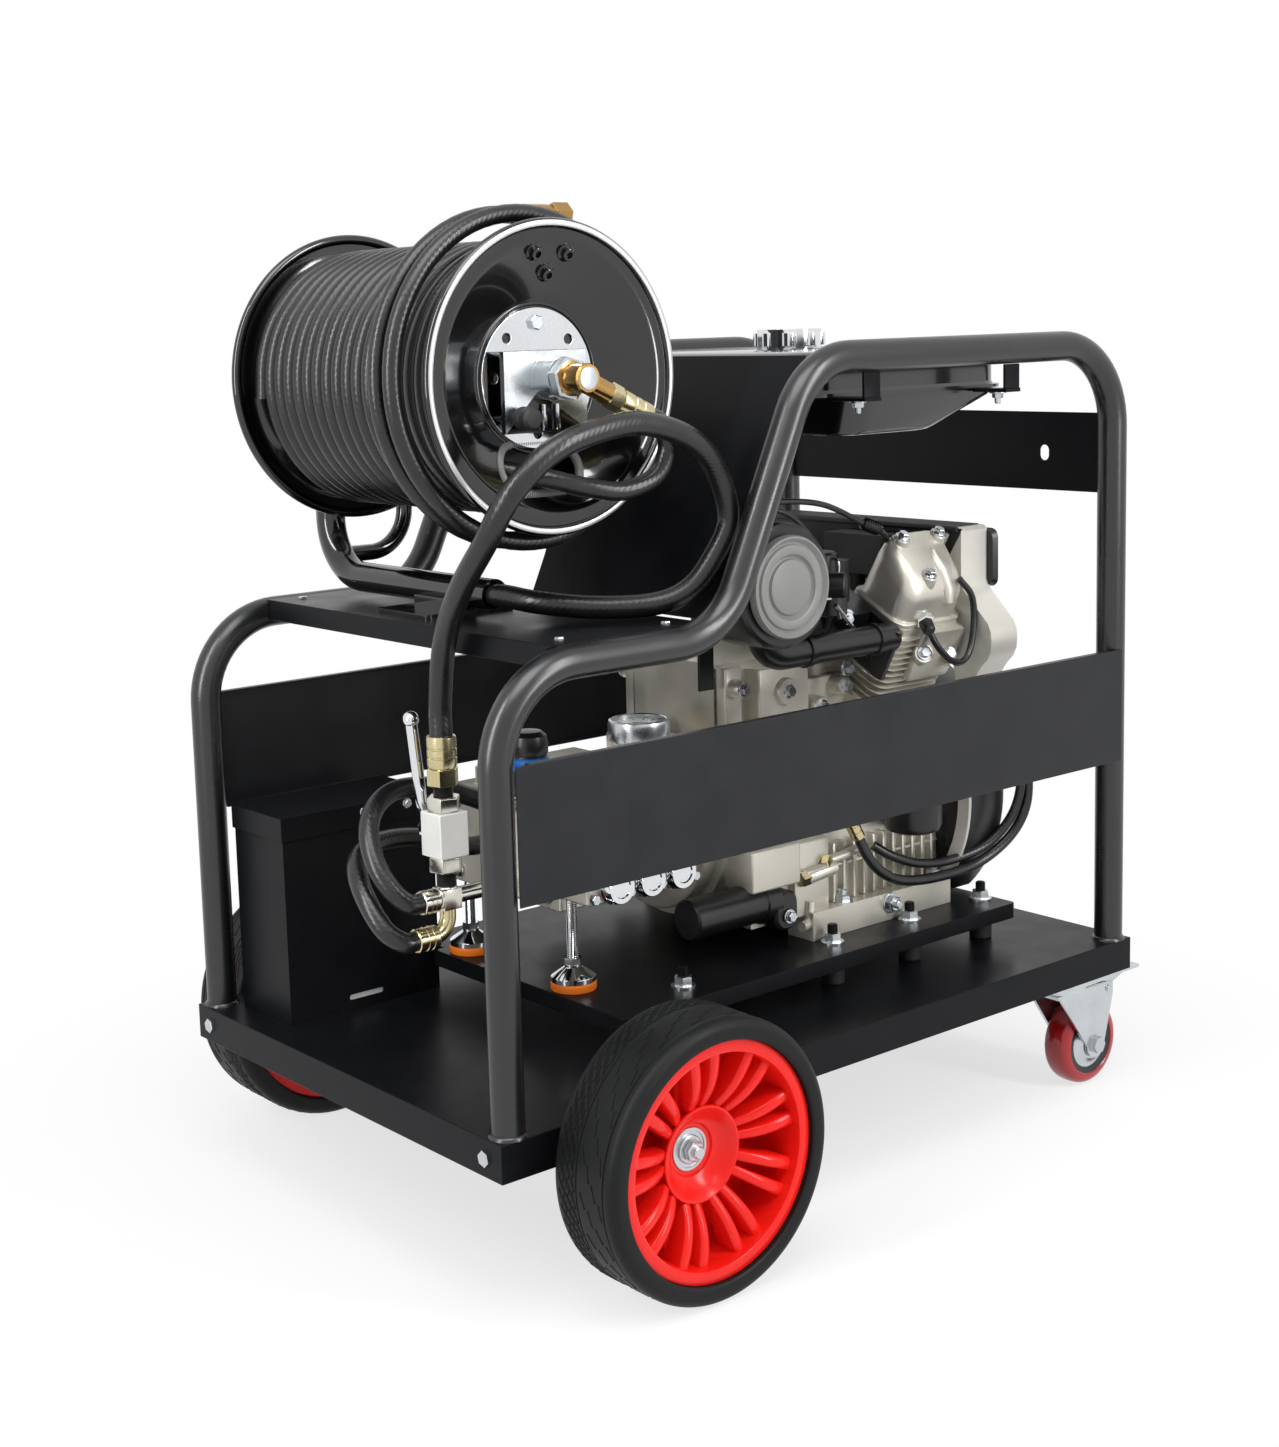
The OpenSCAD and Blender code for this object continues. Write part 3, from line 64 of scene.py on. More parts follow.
# Camera: stands in front of the left wheel at the height of the reel, as for the photograph.
# A long lens with a small shift, because the machine sits right of and above the picture's middle.
link = bpy.context.scene.collection.objects.link
camera = bpy.data.objects.new("camera", bpy.data.cameras.new("camera"))
link(camera)
bpy.context.scene.camera = camera
camera.data.sensor_width = 36
camera.data.lens = 52.39
camera.data.shift_x = 0.0413
camera.data.shift_y = -0.0644
camera_turn = Matrix(((0.77592, -0.63024, -0.02863), (0.11422, 0.09571, 0.98890),
                      (-0.62046, -0.77053, 0.14624)))
camera.matrix_world = Matrix.Translation((-1.53803, -1.72199, 0.90303)) @ camera_turn.transposed().to_4x4()
bpy.context.scene.view_settings.view_transform = "Standard"


# Studio: a white sweep under and behind the machine, a broad soft box above its left side, and
# a tall strip at each end. The floor keeps the soft shadow and fades to plain white further out.
def linear(code):
    """Linear colour of an sRGB hex value."""
    parts = [int(code[i:i + 2], 16) / 255 for i in (1, 3, 5)]
    return [c / 12.92 if c <= 0.04045 else ((c + 0.055) / 1.055) ** 2.4 for c in parts] + [1]


def add(tree, kind, inputs=None, **settings):
    """One node with its settings; inputs gives each socket a value or the socket that feeds it."""
    node = tree.nodes.new(kind)
    for name, value in settings.items():
        setattr(node, name, value)
    for socket, value in (inputs or {}).items():
        if isinstance(value, bpy.types.NodeSocket):
            tree.links.new(value, node.inputs[socket])
        else:
            node.inputs[socket].default_value = value
    return node


def seen_directly(tree):
    """1 where a ray from the eye, a mirror or glass meets the background."""
    path = add(tree, "ShaderNodeLightPath").outputs
    mirror = add(tree, "ShaderNodeMath", {0: path["Is Camera Ray"], 1: path["Is Glossy Ray"]},
                 operation="MAXIMUM")
    return add(tree, "ShaderNodeMath", {0: mirror.outputs[0], 1: path["Is Transmission Ray"]},
               operation="MAXIMUM")


world = bpy.data.worlds.new("studio")
world.use_nodes = True
bpy.context.scene.world = world
sky = world.node_tree
room_light = add(sky, "ShaderNodeBackground", {"Color": linear("#f4f6fa"), "Strength": 0.38})
white = add(sky, "ShaderNodeBackground", {"Color": linear("#ffffff"), "Strength": 1})
sky_mix = add(sky, "ShaderNodeMixShader", {0: seen_directly(sky).outputs[0], 1: room_light.outputs[0],
                                           2: white.outputs[0]})
sky.links.new(sky_mix.outputs[0], sky.nodes["World Output"].inputs[0])

floor_paper = bpy.data.materials.new("white_paper_sweep")
floor_paper.use_nodes = True
paper = floor_paper.node_tree
paper.nodes["Principled BSDF"].inputs["Base Color"].default_value = linear("#f6f6f7")
paper.nodes["Principled BSDF"].inputs["Roughness"].default_value = 0.9
paper.nodes["Principled BSDF"].inputs["Specular IOR Level"].default_value = 0.1
away = add(paper, "ShaderNodeVectorMath", {0: add(paper, "ShaderNodeTexCoord").outputs["Object"]},
           operation="LENGTH")
fade = add(paper, "ShaderNodeMapRange", {0: away.outputs["Value"], 1: 0.3, 2: 1.0, 3: 0.68, 4: 1},
           interpolation_type="SMOOTHSTEP")
paper_white = add(paper, "ShaderNodeEmission", {"Color": linear("#ffffff"), "Strength": 1})
fade_seen = add(paper, "ShaderNodeMath", {0: fade.outputs[0], 1: seen_directly(paper).outputs[0]},
                operation="MULTIPLY")
paper_mix = add(paper, "ShaderNodeMixShader",
                {0: fade_seen.outputs[0], 1: paper.nodes["Principled BSDF"].outputs[0],
                 2: paper_white.outputs[0]})
paper.links.new(paper_mix.outputs[0], paper.nodes["Material Output"].inputs[0])
sweep = bmesh.new()
bmesh.ops.create_circle(sweep, cap_ends=True, segments=96, radius=9)
floor_mesh = bpy.data.meshes.new("floor")
sweep.to_mesh(floor_mesh)
sweep.free()
floor_mesh.materials.append(floor_paper)
floor = bpy.data.objects.new("floor", floor_mesh)
link(floor)

# Place, aim, width and height in metres, power in watts
soft_boxes = {
    "top_box": ((-0.9, -1.0, 2.9), (0.0, 0.0, 0.4), 1.8, 1.6, 42),
    "front_strip": ((-2.3, -0.2, 1.5), (-0.2, 0.0, 0.6), 0.3, 2.2, 36),
    "rear_strip": ((0.75, -2.4, 1.6), (0.1, 0.0, 0.5), 0.4, 2.2, 46),
}
for name, (place, target, width, height, power) in soft_boxes.items():
    lamp = bpy.data.lights.new(name, "AREA")
    lamp.shape = "RECTANGLE"
    lamp.size, lamp.size_y, lamp.energy = width, height, power
    box = bpy.data.objects.new(name, lamp)
    box.location = place
    box.rotation_euler = (Vector(target) - Vector(place)).to_track_quat("-Z", "Y").to_euler()
    link(box)


# Base tray: one 3 mm steel sheet with its edges folded down and welded at the corners.
# It is blasted and powder coated, which leaves a satin black with a faint orange peel.
def surface(name, colour, tint, roughness, spread, grain_mm, bump_mm, **sockets):
    """A finish with grain: colour drifts to the tint, roughness by the spread, and it stands up a little."""
    paint = bpy.data.materials.new(name)
    paint.use_nodes = True
    tree = paint.node_tree
    shader = tree.nodes["Principled BSDF"]
    spot = add(tree, "ShaderNodeTexCoord").outputs["Object"]
    grain = add(tree, "ShaderNodeTexNoise", {"Vector": spot, "Scale": 1000 / grain_mm, "Detail": 3})
    drift = add(tree, "ShaderNodeTexNoise", {"Vector": spot, "Scale": 25 / grain_mm, "Detail": 5})
    both = add(tree, "ShaderNodeMath", {0: grain.outputs[0], 1: drift.outputs[0]}, operation="MULTIPLY_ADD")
    both.inputs[2].default_value = 0.18
    shade = add(tree, "ShaderNodeMapRange", {0: both.outputs[0], 1: 0.25, 2: 0.65})
    tone = add(tree, "ShaderNodeMix", {0: shade.outputs[0], 6: linear(colour), 7: linear(tint)},
               data_type="RGBA")
    rough = add(tree, "ShaderNodeMapRange", {0: drift.outputs[0], 1: 0.3, 2: 0.7, 3: roughness - spread,
                                             4: roughness + spread})
    relief = add(tree, "ShaderNodeBump", {"Height": grain.outputs[0], "Distance": bump_mm / 1000,
                                          "Strength": 1})
    tree.links.new(tone.outputs[2], shader.inputs["Base Color"])
    tree.links.new(rough.outputs[0], shader.inputs["Roughness"])
    tree.links.new(relief.outputs[0], shader.inputs["Normal"])
    for socket, value in sockets.items():
        shader.inputs[socket.replace("_", " ")].default_value = value
    return paint


def settle(made):
    """Gives an object the mesh that its modifiers make."""
    made.data = bpy.data.meshes.new_from_object(made.evaluated_get(bpy.context.evaluated_depsgraph_get()))
    made.modifiers.clear()


def seated(made, body, stands_for):
    """Puts a piece on its body, in place of its CAD nodes."""
    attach(made, body)
    if stands_for:
        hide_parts(*stands_for)
    return made


def dressed(node, paint, round_mm):
    """A CAD node's solid with its flat faces whole and its edges rounded, which stands for the node."""
    crease = radians(32)
    source = frame["nodes"][node]
    form = bmesh.new()
    form.from_mesh(source.data)
    bmesh.ops.remove_doubles(form, verts=form.verts, dist=2e-5)
    bmesh.ops.dissolve_limit(form, angle_limit=radians(0.5), verts=form.verts, edges=form.edges)
    mesh = bpy.data.meshes.new(node + "_finish")
    form.to_mesh(mesh)
    form.free()
    mesh.materials.clear()
    mesh.materials.append(paint)
    mesh.shade_smooth()
    mesh.set_sharp_from_angle(angle=crease)
    made = bpy.data.objects.new(node + "_finish", mesh)
    link(made)
    edge = made.modifiers.new("round_edges", "BEVEL")
    edge.width, edge.segments, edge.limit_method = round_mm / 1000, 2, "ANGLE"
    edge.angle_limit = crease
    edge.harden_normals = True
    settle(made)
    return seated(made, source["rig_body"], [node])


# Powder coat: a baked epoxy film, dull black with pin-point gloss; the peel is drawn at 1.2 mm to show
powder_coat = surface("powder_coat_satin_black", "#0c0d0f", "#131417", 0.33, 0.05, 1.2, 0.012,
                      Specular_IOR_Level=0.11)
dressed("base_tray", powder_coat, 1.4)


# Side frames: 32 mm steel tube, each bent in one piece from the front foot to the rear foot and
# welded to the tray. Powder coated with the tray; a bead of weld runs round each foot.
def bent(corners, radius, step=6):
    """Centre line through the corners with round bends."""
    line = [Vector(corners[0])]
    for before, corner, after in zip(corners, corners[1:], corners[2:]):
        corner = Vector(corner)
        start, end = (Vector(before) - corner).normalized(), (Vector(after) - corner).normalized()
        half = start.angle(end) / 2
        centre = corner + (start + end).normalized() * radius / sin(half)
        first = corner + start * radius / tan(half) - centre
        turn = pi - 2 * half
        axis = start.cross(end).normalized()
        stops = max(4, round(degrees(turn) / step))
        line += [centre + Matrix.Rotation(-turn * i / stops, 3, axis) @ first for i in range(stops + 1)]
    return line + [Vector(corners[-1])]


def tube(form, line, radius, sides=24, capped=True):
    """Sweeps a round section along a line, in mm, with a map of mm round and along it."""
    line = [Vector(p) for p in line]
    radii = radius if isinstance(radius, (list, tuple)) else [radius] * len(line)
    ways = [(line[min(i + 1, len(line) - 1)] - line[max(i - 1, 0)]).normalized() for i in range(len(line))]
    side = ways[0].orthogonal().normalized()
    grid = form.loops.layers.uv.verify()
    turns = [2 * pi * k / sides for k in range(sides)]
    rings, far = [], [0]
    for i, (point, way) in enumerate(zip(line, ways)):
        if i:
            side = ways[i - 1].rotation_difference(way) @ side
            side = (side - side.project(way)).normalized()
            far.append(far[-1] + (point - line[i - 1]).length)
        other = way.cross(side)
        rings.append([form.verts.new(point + radii[i] * (cos(a) * side + sin(a) * other)) for a in turns])
    for i in range(len(rings) - 1):
        for k in range(sides):
            n = (k + 1) % sides
            face = form.faces.new((rings[i][k], rings[i][n], rings[i + 1][n], rings[i + 1][k]))
            around = 2 * pi * radii[i] / sides
            for loop, (u, v) in zip(face.loops, ((k, i), (k + 1, i), (k + 1, i + 1), (k, i + 1))):
                loop[grid].uv = (u * around / 1000, far[v] / 1000)
    if capped:
        form.faces.new(rings[0][::-1])
        form.faces.new(rings[-1])


def lathe(form, profile, centre=(0, 0, 0), axis=(0, 0, 1), segments=48, ends="solid"):
    """Turns a profile of (radius, distance along the axis) round an axis through the centre, in mm.
    Solid ends run in to the axis, a ring's profile closes on itself, open ends stay as they are."""
    centre, axis = Vector(centre), Vector(axis).normalized()
    side = axis.orthogonal().normalized()
    other = axis.cross(side)
    turns = [2 * pi * k / segments for k in range(segments)]
    if ends == "solid":
        first, last = profile[0], profile[-1]
        profile = [(0, first[1])] * (first[0] > 1e-6) + profile + [(0, last[1])] * (last[0] > 1e-6)
    rings = []
    for r, h in profile:
        middle = centre + axis * h
        if r < 1e-6:
            rings.append([form.verts.new(middle)])
        else:
            rings.append([form.verts.new(middle + r * (cos(a) * side + sin(a) * other)) for a in turns])
    for low, high in zip(rings, rings[1:] + rings[:1] if ends == "ring" else rings[1:]):
        for k in range(segments):
            n = (k + 1) % segments
            corners = [low[k % len(low)], low[n % len(low)], high[n % len(high)], high[k % len(high)]]
            corners = list(dict.fromkeys(corners))
            if len(corners) > 2:
                form.faces.new(corners)


def smooth_mesh(name, form, sharp):
    """A mesh from a form in mm, smooth but for edges that turn by more than the angle."""
    bmesh.ops.scale(form, vec=(0.001, 0.001, 0.001), verts=form.verts)
    bmesh.ops.recalc_face_normals(form, faces=form.faces)
    mesh = bpy.data.meshes.new(name)
    form.to_mesh(mesh)
    form.free()
    mesh.shade_smooth()
    mesh.set_sharp_from_angle(angle=radians(sharp))
    return mesh


def piece(name, form, paints, stands_for=(), sharp=35, body="chassis"):
    """A finished piece from a form in mm: at the origin, riding on a body, standing for its CAD nodes."""
    made = bpy.data.objects.new(name, smooth_mesh(name, form, sharp))
    for paint in paints if isinstance(paints, list) else [paints]:
        made.data.materials.append(paint)
    link(made)
    return seated(made, body, stands_for)


up, forward, back, to_left = Vector((0, 0, 1)), Vector((-1, 0, 0)), Vector((1, 0, 0)), Vector((0, -1, 0))
# Powder coat on the tubes: the same film, which flows smoother on the drawn steel
tube_coat = surface("powder_coat_on_drawn_tube", "#0c0d0f", "#121316", 0.29, 0.04, 1.6, 0.006,
                    Specular_IOR_Level=0.7)
frame_y, front_x, rear_x, low_z, high_z = 258.5, -459.5, 414.5, 598, 859
tube_r, bend_r, tray_top = 16, 90, 175
for side, sign in (("left", -1), ("right", 1)):
    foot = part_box(side + "_side_frame")[0].z * 1000
    run = [(front_x, foot), (front_x, low_z), (-187, low_z), (-65.3, high_z), (rear_x, high_z),
           (rear_x, foot)]
    form = bmesh.new()
    tube(form, bent([(x, sign * frame_y, z) for x, z in run], bend_r), tube_r, 32)
    for x in (front_x, rear_x):
        bead = [(15.5, 0), (19, 0), (18.4, 2), (17, 3.6), (15.5, 4)]
        lathe(form, bead, (x, sign * frame_y, tray_top), up, 32, "ring")
    piece(side + "_frame_tube", form, tube_coat, [side + "_side_frame"])

# Sheet panels: 2 mm steel, with hemmed edges that catch the light, spot welded to the frame tubes.
# The shelf carries the reel, the console closes the slope and the rear panel ties the uprights.
# Powder coat on the side panels: the same film, painted a shade greyer to stand for the light the long flat
# sheets catch
panel_coat_painted_light = surface("powder_coat_on_panels_painted_light", "#1b1c1e", "#242528", 0.36, 0.05, 1.2, 0.012,
                     Specular_IOR_Level=0.22)
for node in ("left_side_panel", "right_side_panel"):
    dressed(node, panel_coat_painted_light, 0.9)
for node in ("rear_panel", "console", "reel_shelf", "sub_base", "tank_brackets"):
    dressed(node, powder_coat, 0.9)

# Front axle: a turned steel bar through the tray's skirt, with collars, and a washer and nut at each end.
# Bright zinc plate, which gives a cool grey shine with faint draw lines.
zinc_plate = surface("zinc_plate_bright", "#b9bec2", "#d2d6d8", 0.27, 0.08, 0.9, 0.006, Metallic=1)
wheel_r = 135
axle = Vector((-296, 0, wheel_r))
form = bmesh.new()
for out in (to_left, -to_left):
    bar = [(10, 0), (10, 240), (15.4, 240), (16, 241), (16, 277.6), (15.4, 278.4), (10, 278.4), (10, 318),
           (6.2, 318), (6.2, 334.4), (5.2, 335.6)]
    lathe(form, bar, axle, out, 40)
    lathe(form, [(13.6, 319), (13.6, 322.4), (12.8, 323)], axle, out, 40)
    lathe(form, [(9.4, 323), (10.6, 324), (10.6, 329.6), (9.2, 330.8)], axle, out, 6)
piece("front_axle_bar", form, zinc_plate, ["front_axle"], 30)


# Front wheels: nylon moulded in one piece, a rim and a deep dish of nine pairs of curved spokes before a
# web, pressed on a ball bearing. Glossy red straight from the mould.
def repeat_tree():
    """Puts a shape on each point, turned as the point says, as one plain mesh with its finish."""
    tree = bpy.data.node_groups.new("repeat_on_points", "GeometryNodeTree")
    for socket, kind in (("Points", "Geometry"), ("Shape", "Object"), ("Finish", "Material")):
        tree.interface.new_socket(socket, in_out="INPUT", socket_type="NodeSocket" + kind)
    tree.interface.new_socket("Pieces", in_out="OUTPUT", socket_type="NodeSocketGeometry")
    given = add(tree, "NodeGroupInput").outputs
    turn = add(tree, "GeometryNodeInputNamedAttribute", {"Name": "turn"}, data_type="FLOAT_VECTOR")
    turned = add(tree, "FunctionNodeEulerToRotation", {0: turn.outputs[0]})
    shape = add(tree, "GeometryNodeObjectInfo", {"Object": given["Shape"]})
    placed = add(tree, "GeometryNodeInstanceOnPoints",
                 {"Points": given["Points"], "Instance": shape.outputs["Geometry"],
                  "Rotation": turned.outputs[0]})
    whole = add(tree, "GeometryNodeRealizeInstances", {0: placed.outputs[0]})
    done = add(tree, "GeometryNodeSetMaterial", {"Geometry": whole.outputs[0], "Material": given["Finish"]})
    add(tree, "NodeGroupOutput", {0: done.outputs[0]})
    return tree


repeat_on_points = repeat_tree()


def repeated(name, shape, places, paint, stands_for=(), sharp=35, body="chassis"):
    """One piece of many equal shapes in mm; a place is a point with a turn, or with the way that +Z faces."""
    pattern = bpy.data.objects.new(name + "_pattern", smooth_mesh(name + "_pattern", shape, sharp))
    link(pattern)
    mesh = bpy.data.meshes.new(name)
    mesh.from_pydata([Vector(point) / 1000 for point, _ in places], [], [])
    turns = mesh.attributes.new("turn", "FLOAT_VECTOR", "POINT")
    for item, (_, turn) in zip(turns.data, places):
        item.vector = turn if isinstance(turn, Euler) else Vector(turn).to_track_quat("Z", "Y").to_euler()
    made = bpy.data.objects.new(name, mesh)
    link(made)
    nodes = made.modifiers.new("repeat", "NODES")
    nodes.node_group = repeat_on_points
    sockets = repeat_on_points.interface.items_tree
    given = {item.name: item.identifier for item in sockets if item.in_out == "INPUT"}
    nodes[given["Shape"]], nodes[given["Finish"]] = pattern, paint
    settle(made)
    bpy.data.objects.remove(pattern)
    if not made.data.materials:
        made.data.materials.append(paint)
    seated(made, body, stands_for)


def screws(name, shape, places, stands_for=(), body="chassis"):
    """Plated screws of one shape."""
    repeated(name, shape, places, zinc_plate, stands_for, 25, body)


def block(form, low, high):
    """A plain block between two corners, in mm."""
    size = Vector(high) - Vector(low)
    turn = Matrix.Translation((Vector(high) + Vector(low)) / 2) @ Matrix.Diagonal((*size, 1))
    bmesh.ops.create_cube(form, size=1, matrix=turn)


def loft(form, rings, place=Vector):
    """Skin over rings with equal numbers of points, closed at both ends; place moves each point."""
    made = [[form.verts.new(place(p)) for p in ring] for ring in rings]
    count = len(made[0])
    for a, b in zip(made, made[1:]):
        for k in range(count):
            form.faces.new((a[k], a[(k + 1) % count], b[(k + 1) % count], b[k]))
    form.faces.new(made[0][::-1])
    form.faces.new(made[-1])


# Nylon: dyed in the mass, a clear glossy red with soft flow marks
red_nylon = surface("nylon_moulded_red", "#ec1f16", "#dd1811", 0.24, 0.05, 3, 0.01, Specular_IOR_Level=0.3)
# Tyre rubber: dull black, a little grey from the mould
tyre_rubber = surface("tyre_rubber_moulded", "#0d0e0f", "#151617", 0.5, 0.06, 1.1, 0.03,
                      Specular_IOR_Level=0.2)
for side, sign in (("left", -1), ("right", 1)):
    body = side + "_wheel"
    out = Vector((0, sign, 0))
    form = bmesh.new()
    rim = [(102, 360.6), (102.6, 362.2), (104.2, 363), (113.6, 363), (114.6, 362.6), (115, 361.4), (115, 288),
           (114, 287), (104, 287), (101, 290), (100.6, 320), (101.2, 345)]
    lathe(form, rim, axle, out, 96, "ring")
    lathe(form, [(26, 299), (101.5, 299), (101.5, 303), (26, 303)], axle, out, 96, "ring")
    cup = [(21, 320), (24.4, 320.6), (25.4, 321.6), (26, 323.2), (28, 324), (30.6, 325.2), (34, 328),
           (38, 332.4), (41.6, 337), (44, 339), (46, 338.6), (46.6, 337), (43, 329), (38, 320), (33, 311),
           (29, 303), (28, 296), (28, 280), (27, 279), (21, 279)]
    lathe(form, cup, axle, out, 72, "ring")
    piece(side + "_wheel_rim_barrel", form, red_nylon, [side + "_wheel_rim"], body=body)
    form = bmesh.new()
    stations, spoke_pairs = 16, 9
    for lean in (-1, 1):
        rings = []
        for i in range(stations + 1):
            t = i / stations
            r = 39 + 63 * t
            front = 355 - 24 * (1 - t) ** 2.6
            deep, half = 15 + 12 * t, 4.6 + 1.8 * t
            middle = lean * r * tan(radians(8.6 - 1.4 * t))
            section = [(-half, deep), (-half, 3), (-0.75 * half, 0.8), (0, 0), (0.75 * half, 0.8), (half, 3),
                       (half, deep)]
            rings.append([(r, sign * (front - behind), middle + z) for z, behind in section])
        loft(form, rings)
    places = [(axle, Euler((0, radians(360 / spoke_pairs * i - 14.5), 0))) for i in range(spoke_pairs)]
    repeated(side + "_wheel_spokes", form, places, red_nylon, sharp=50, body=body)
    form = bmesh.new()
    race = [(10.2, 317), (10.2, 321), (13.8, 321.2), (14.2, 320), (17.6, 320), (18, 321.2), (20.4, 321.2),
            (20.9, 320.6), (20.9, 317)]
    lathe(form, race, axle, out, 48, "ring")
    piece(side + "_wheel_bearing", form, zinc_plate, body=body)
    form = bmesh.new()
    arc = [radians(10 * i) for i in range(10)]
    profile = [(115.1, 284.6), (116.4, 283.4), (118, 283), (125, 283)]
    profile += [(125 + 10 * sin(a), 293 - 10 * cos(a)) for a in arc[1:]]
    for groove in (318.6, 355.6):
        profile += [(wheel_r, groove - 1.1), (134, groove - 0.8), (133.4, groove), (134, groove + 0.8),
                    (wheel_r, groove + 1.1)]
    profile += [(125 + 10 * cos(a), 359 + 10 * sin(a)) for a in arc[:-1]]
    profile += [(125, 369), (118, 369), (116.4, 368.6), (115.1, 367.4)]
    lathe(form, profile, axle, out, 160, "ring")
    piece(side + "_tyre", form, tyre_rubber, [side + "_wheel_tyre"], 40, body=body)
    # Tread: fine slanting ribs, close on the inner band and worn away on the outer one
    tread_rib = bmesh.new()
    block(tread_rib, (-8, -0.45, -0.6), (8, 0.45, 0.45))
    places = []
    for row, across in enumerate((296, 299.5, 303, 306.5, 310, 313.5, 326, 334, 342, 350)):
        count = 56 if across < 318 else 20
        for i in range(count):
            a = 2 * pi * (i + 0.37 * row) / count
            spot = axle + out * across + wheel_r * Vector((cos(a), 0, sin(a)))
            turned = Matrix.Rotation(pi / 2 - a, 3, "Y") @ Matrix.Rotation(0.2 if row % 2 else 0.32, 3, "Z")
            places.append((spot, turned.to_euler()))
    repeated(side + "_tyre_tread", tread_rib, places, tyre_rubber, body=body)

# Casters: pressed and zinc-plated fork on a ball race, with a cast polyurethane tread on a plated hub.
# The wheel's red tread is bonded over a dark core, and a bent pedal brakes it.
pu_red = surface("polyurethane_cast_red", "#a31217", "#8c0d11", 0.22, 0.05, 2.5, 0.008, Coat_Weight=0.2,
                 Coat_Roughness=0.08)
core_black = surface("polypropylene_core_black", "#141414", "#1c1b1a", 0.45, 0.05, 1.5, 0.01)
dressed("caster_plates", zinc_plate, 0.6)
for side, sign in (("left", -1), ("right", 1)):
    dressed(side + "_caster_fork", zinc_plate, 0.8)
    dressed(side + "_brake_pedal", zinc_plate, 0.8)
    middle = Vector((397, sign * 232, 50))
    form = bmesh.new()
    half = [(0, 50), (5, 49.8), (9, 49.2), (12, 48), (14.4, 46), (16, 43.4), (16.8, 40.4), (17, 37.5),
            (16.4, 36.4), (15.6, 35.8), (15.4, 31), (15, 30.2), (13.6, 29.4), (13.4, 26), (15, 22),
            (17.6, 19.4), (19.4, 18), (19.6, 10), (19.6, 6.1)]
    profile = [(r, -h) for h, r in reversed(half)] + [(r, h) for h, r in half[1:]]
    lathe(form, profile, middle, -to_left, 64, "ring")
    for face in form.faces:
        spot = face.calc_center_median() - middle
        away = hypot(spot.x, spot.z)
        face.material_index = 0 if away > 36.5 else 1 if away > 29.6 else 2
    piece(side + "_caster_tread", form, [pu_red, core_black, zinc_plate],
          [side + "_caster_wheel"], 30, body=side + "_caster_roller")

# Sub-base fixings: rubber mounts between tray and sub-base, each with a stud, washer and nut, and
# hex screws in the tray's front and the shelf. Plated standard hardware, but for the studs' black ends.
mount_rubber = surface("rubber_mount_moulded", "#101011", "#181819", 0.6, 0.05, 1.2, 0.02)
dressed("rubber_mounts", mount_rubber, 1.5)


def hex_screw(head_r, head_h, washer_r, stud=0):
    """A hex head with a chamfered top on a washer, and the end of a stud above it, in mm."""
    form = bmesh.new()
    if washer_r:
        lathe(form, [(washer_r, 0), (washer_r, 1.6), (washer_r - 0.5, 2)], segments=20)
    low = 2 if washer_r else 0
    lathe(form, [(head_r, low), (head_r, low + head_h - 1), (head_r * 0.86, low + head_h)], segments=6)
    if stud:
        lathe(form, [(head_r * 0.55, low + head_h - 0.5), (head_r * 0.55, low + head_h + stud - 1),
                     (head_r * 0.42, low + head_h + stud)], segments=12)
    return form


base_top = 220
places = [((x, y, base_top), up) for x in (-150, 69, 193, 315) for y in (-152, 152)]
screws("mount_nuts", hex_screw(10, 9, 13), places, ["chassis_bolts"])
stud_end = bmesh.new()
lathe(stud_end, [(5.6, 10), (5.6, 20), (4.4, 21)], segments=16)
repeated("mount_stud_ends", stud_end, places, powder_coat, sharp=25)
places = [((-480, y, 156.5), forward) for y in (-250, 250)]
screws("tray_screws", hex_screw(8, 3.6, 0), places)
places = [((x, y, 613), up) for x in (-355, -225) for y in (-222.5, 222.5)]
screws("shelf_screws", hex_screw(5, 2.2, 0), places)

# Levelling feet under the pump's front: a chromed cone that swivels on a threaded stud, with a
# lock nut, on a pad of orange rubber.
chrome_plate = surface("chrome_plate_polished", "#d9dcdf", "#e4e6e8", 0.07, 0.03, 2, 0.002, Metallic=1)
pad_orange = surface("rubber_pad_orange", "#ee7d16", "#e06f0e", 0.5, 0.05, 1.5, 0.02)
form = bmesh.new()
pads = bmesh.new()
for x, y, top in ((-235, -77, 314), (-234, 103, 298)):
    foot = (x, y, base_top)
    lathe(pads, [(23.4, 0), (24, 1), (24, 7), (23, 8)], foot, up, 40)
    lathe(form, [(22.6, 8), (23.4, 9), (23.4, 13.5), (22.4, 14.6), (10.5, 22.5), (9, 24), (9, 26)], foot, up,
          40)
    lathe(form, [(9.5, 26), (9.5, 33)], foot, up, 6)
    stud = [(0, 33)]
    for k in range(int((top - base_top - 33) / 2)):
        stud += [(6, 33.2 + 2 * k), (5.3, 34.2 + 2 * k)]
    lathe(form, stud + [(5.3, top - base_top)], foot, up, 20)
piece("levelling_feet_cones", form, chrome_plate, ["levelling_feet"], 25)
piece("levelling_feet_pads", pads, pad_orange)

# Engine block: die-cast aluminium crankcase with ribs, bolted covers and bright feet.
# As cast, a warm pale grey with a fine sandy skin that is duller in the hollows.
cast_aluminium = surface("aluminium_die_cast", "#c4c0b4", "#d9d5ca", 0.36, 0.08, 1.4, 0.05, Metallic=0.6)
dressed("engine_crankcase", cast_aluminium, 4)


def rounded(form, width, steps=2):
    """Rounds the sharp edges of a form."""
    edges = [e for e in form.edges if len(e.link_faces) == 2 and e.calc_face_angle(0) > 0.6]
    bmesh.ops.bevel(form, geom=edges, offset=width, segments=steps, profile=0.5, affect="EDGES",
                    clamp_overlap=True)


rib = bmesh.new()
block(rib, (-2.6, -8, -34), (2.6, 8, 34))
rounded(rib, 2)
places = [((x, s * 115, 286), Euler((0, 0, 0))) for s in (-1, 1) for x in range(104, 266, 16)]
repeated("crankcase_ribs", rib, places, cast_aluminium)
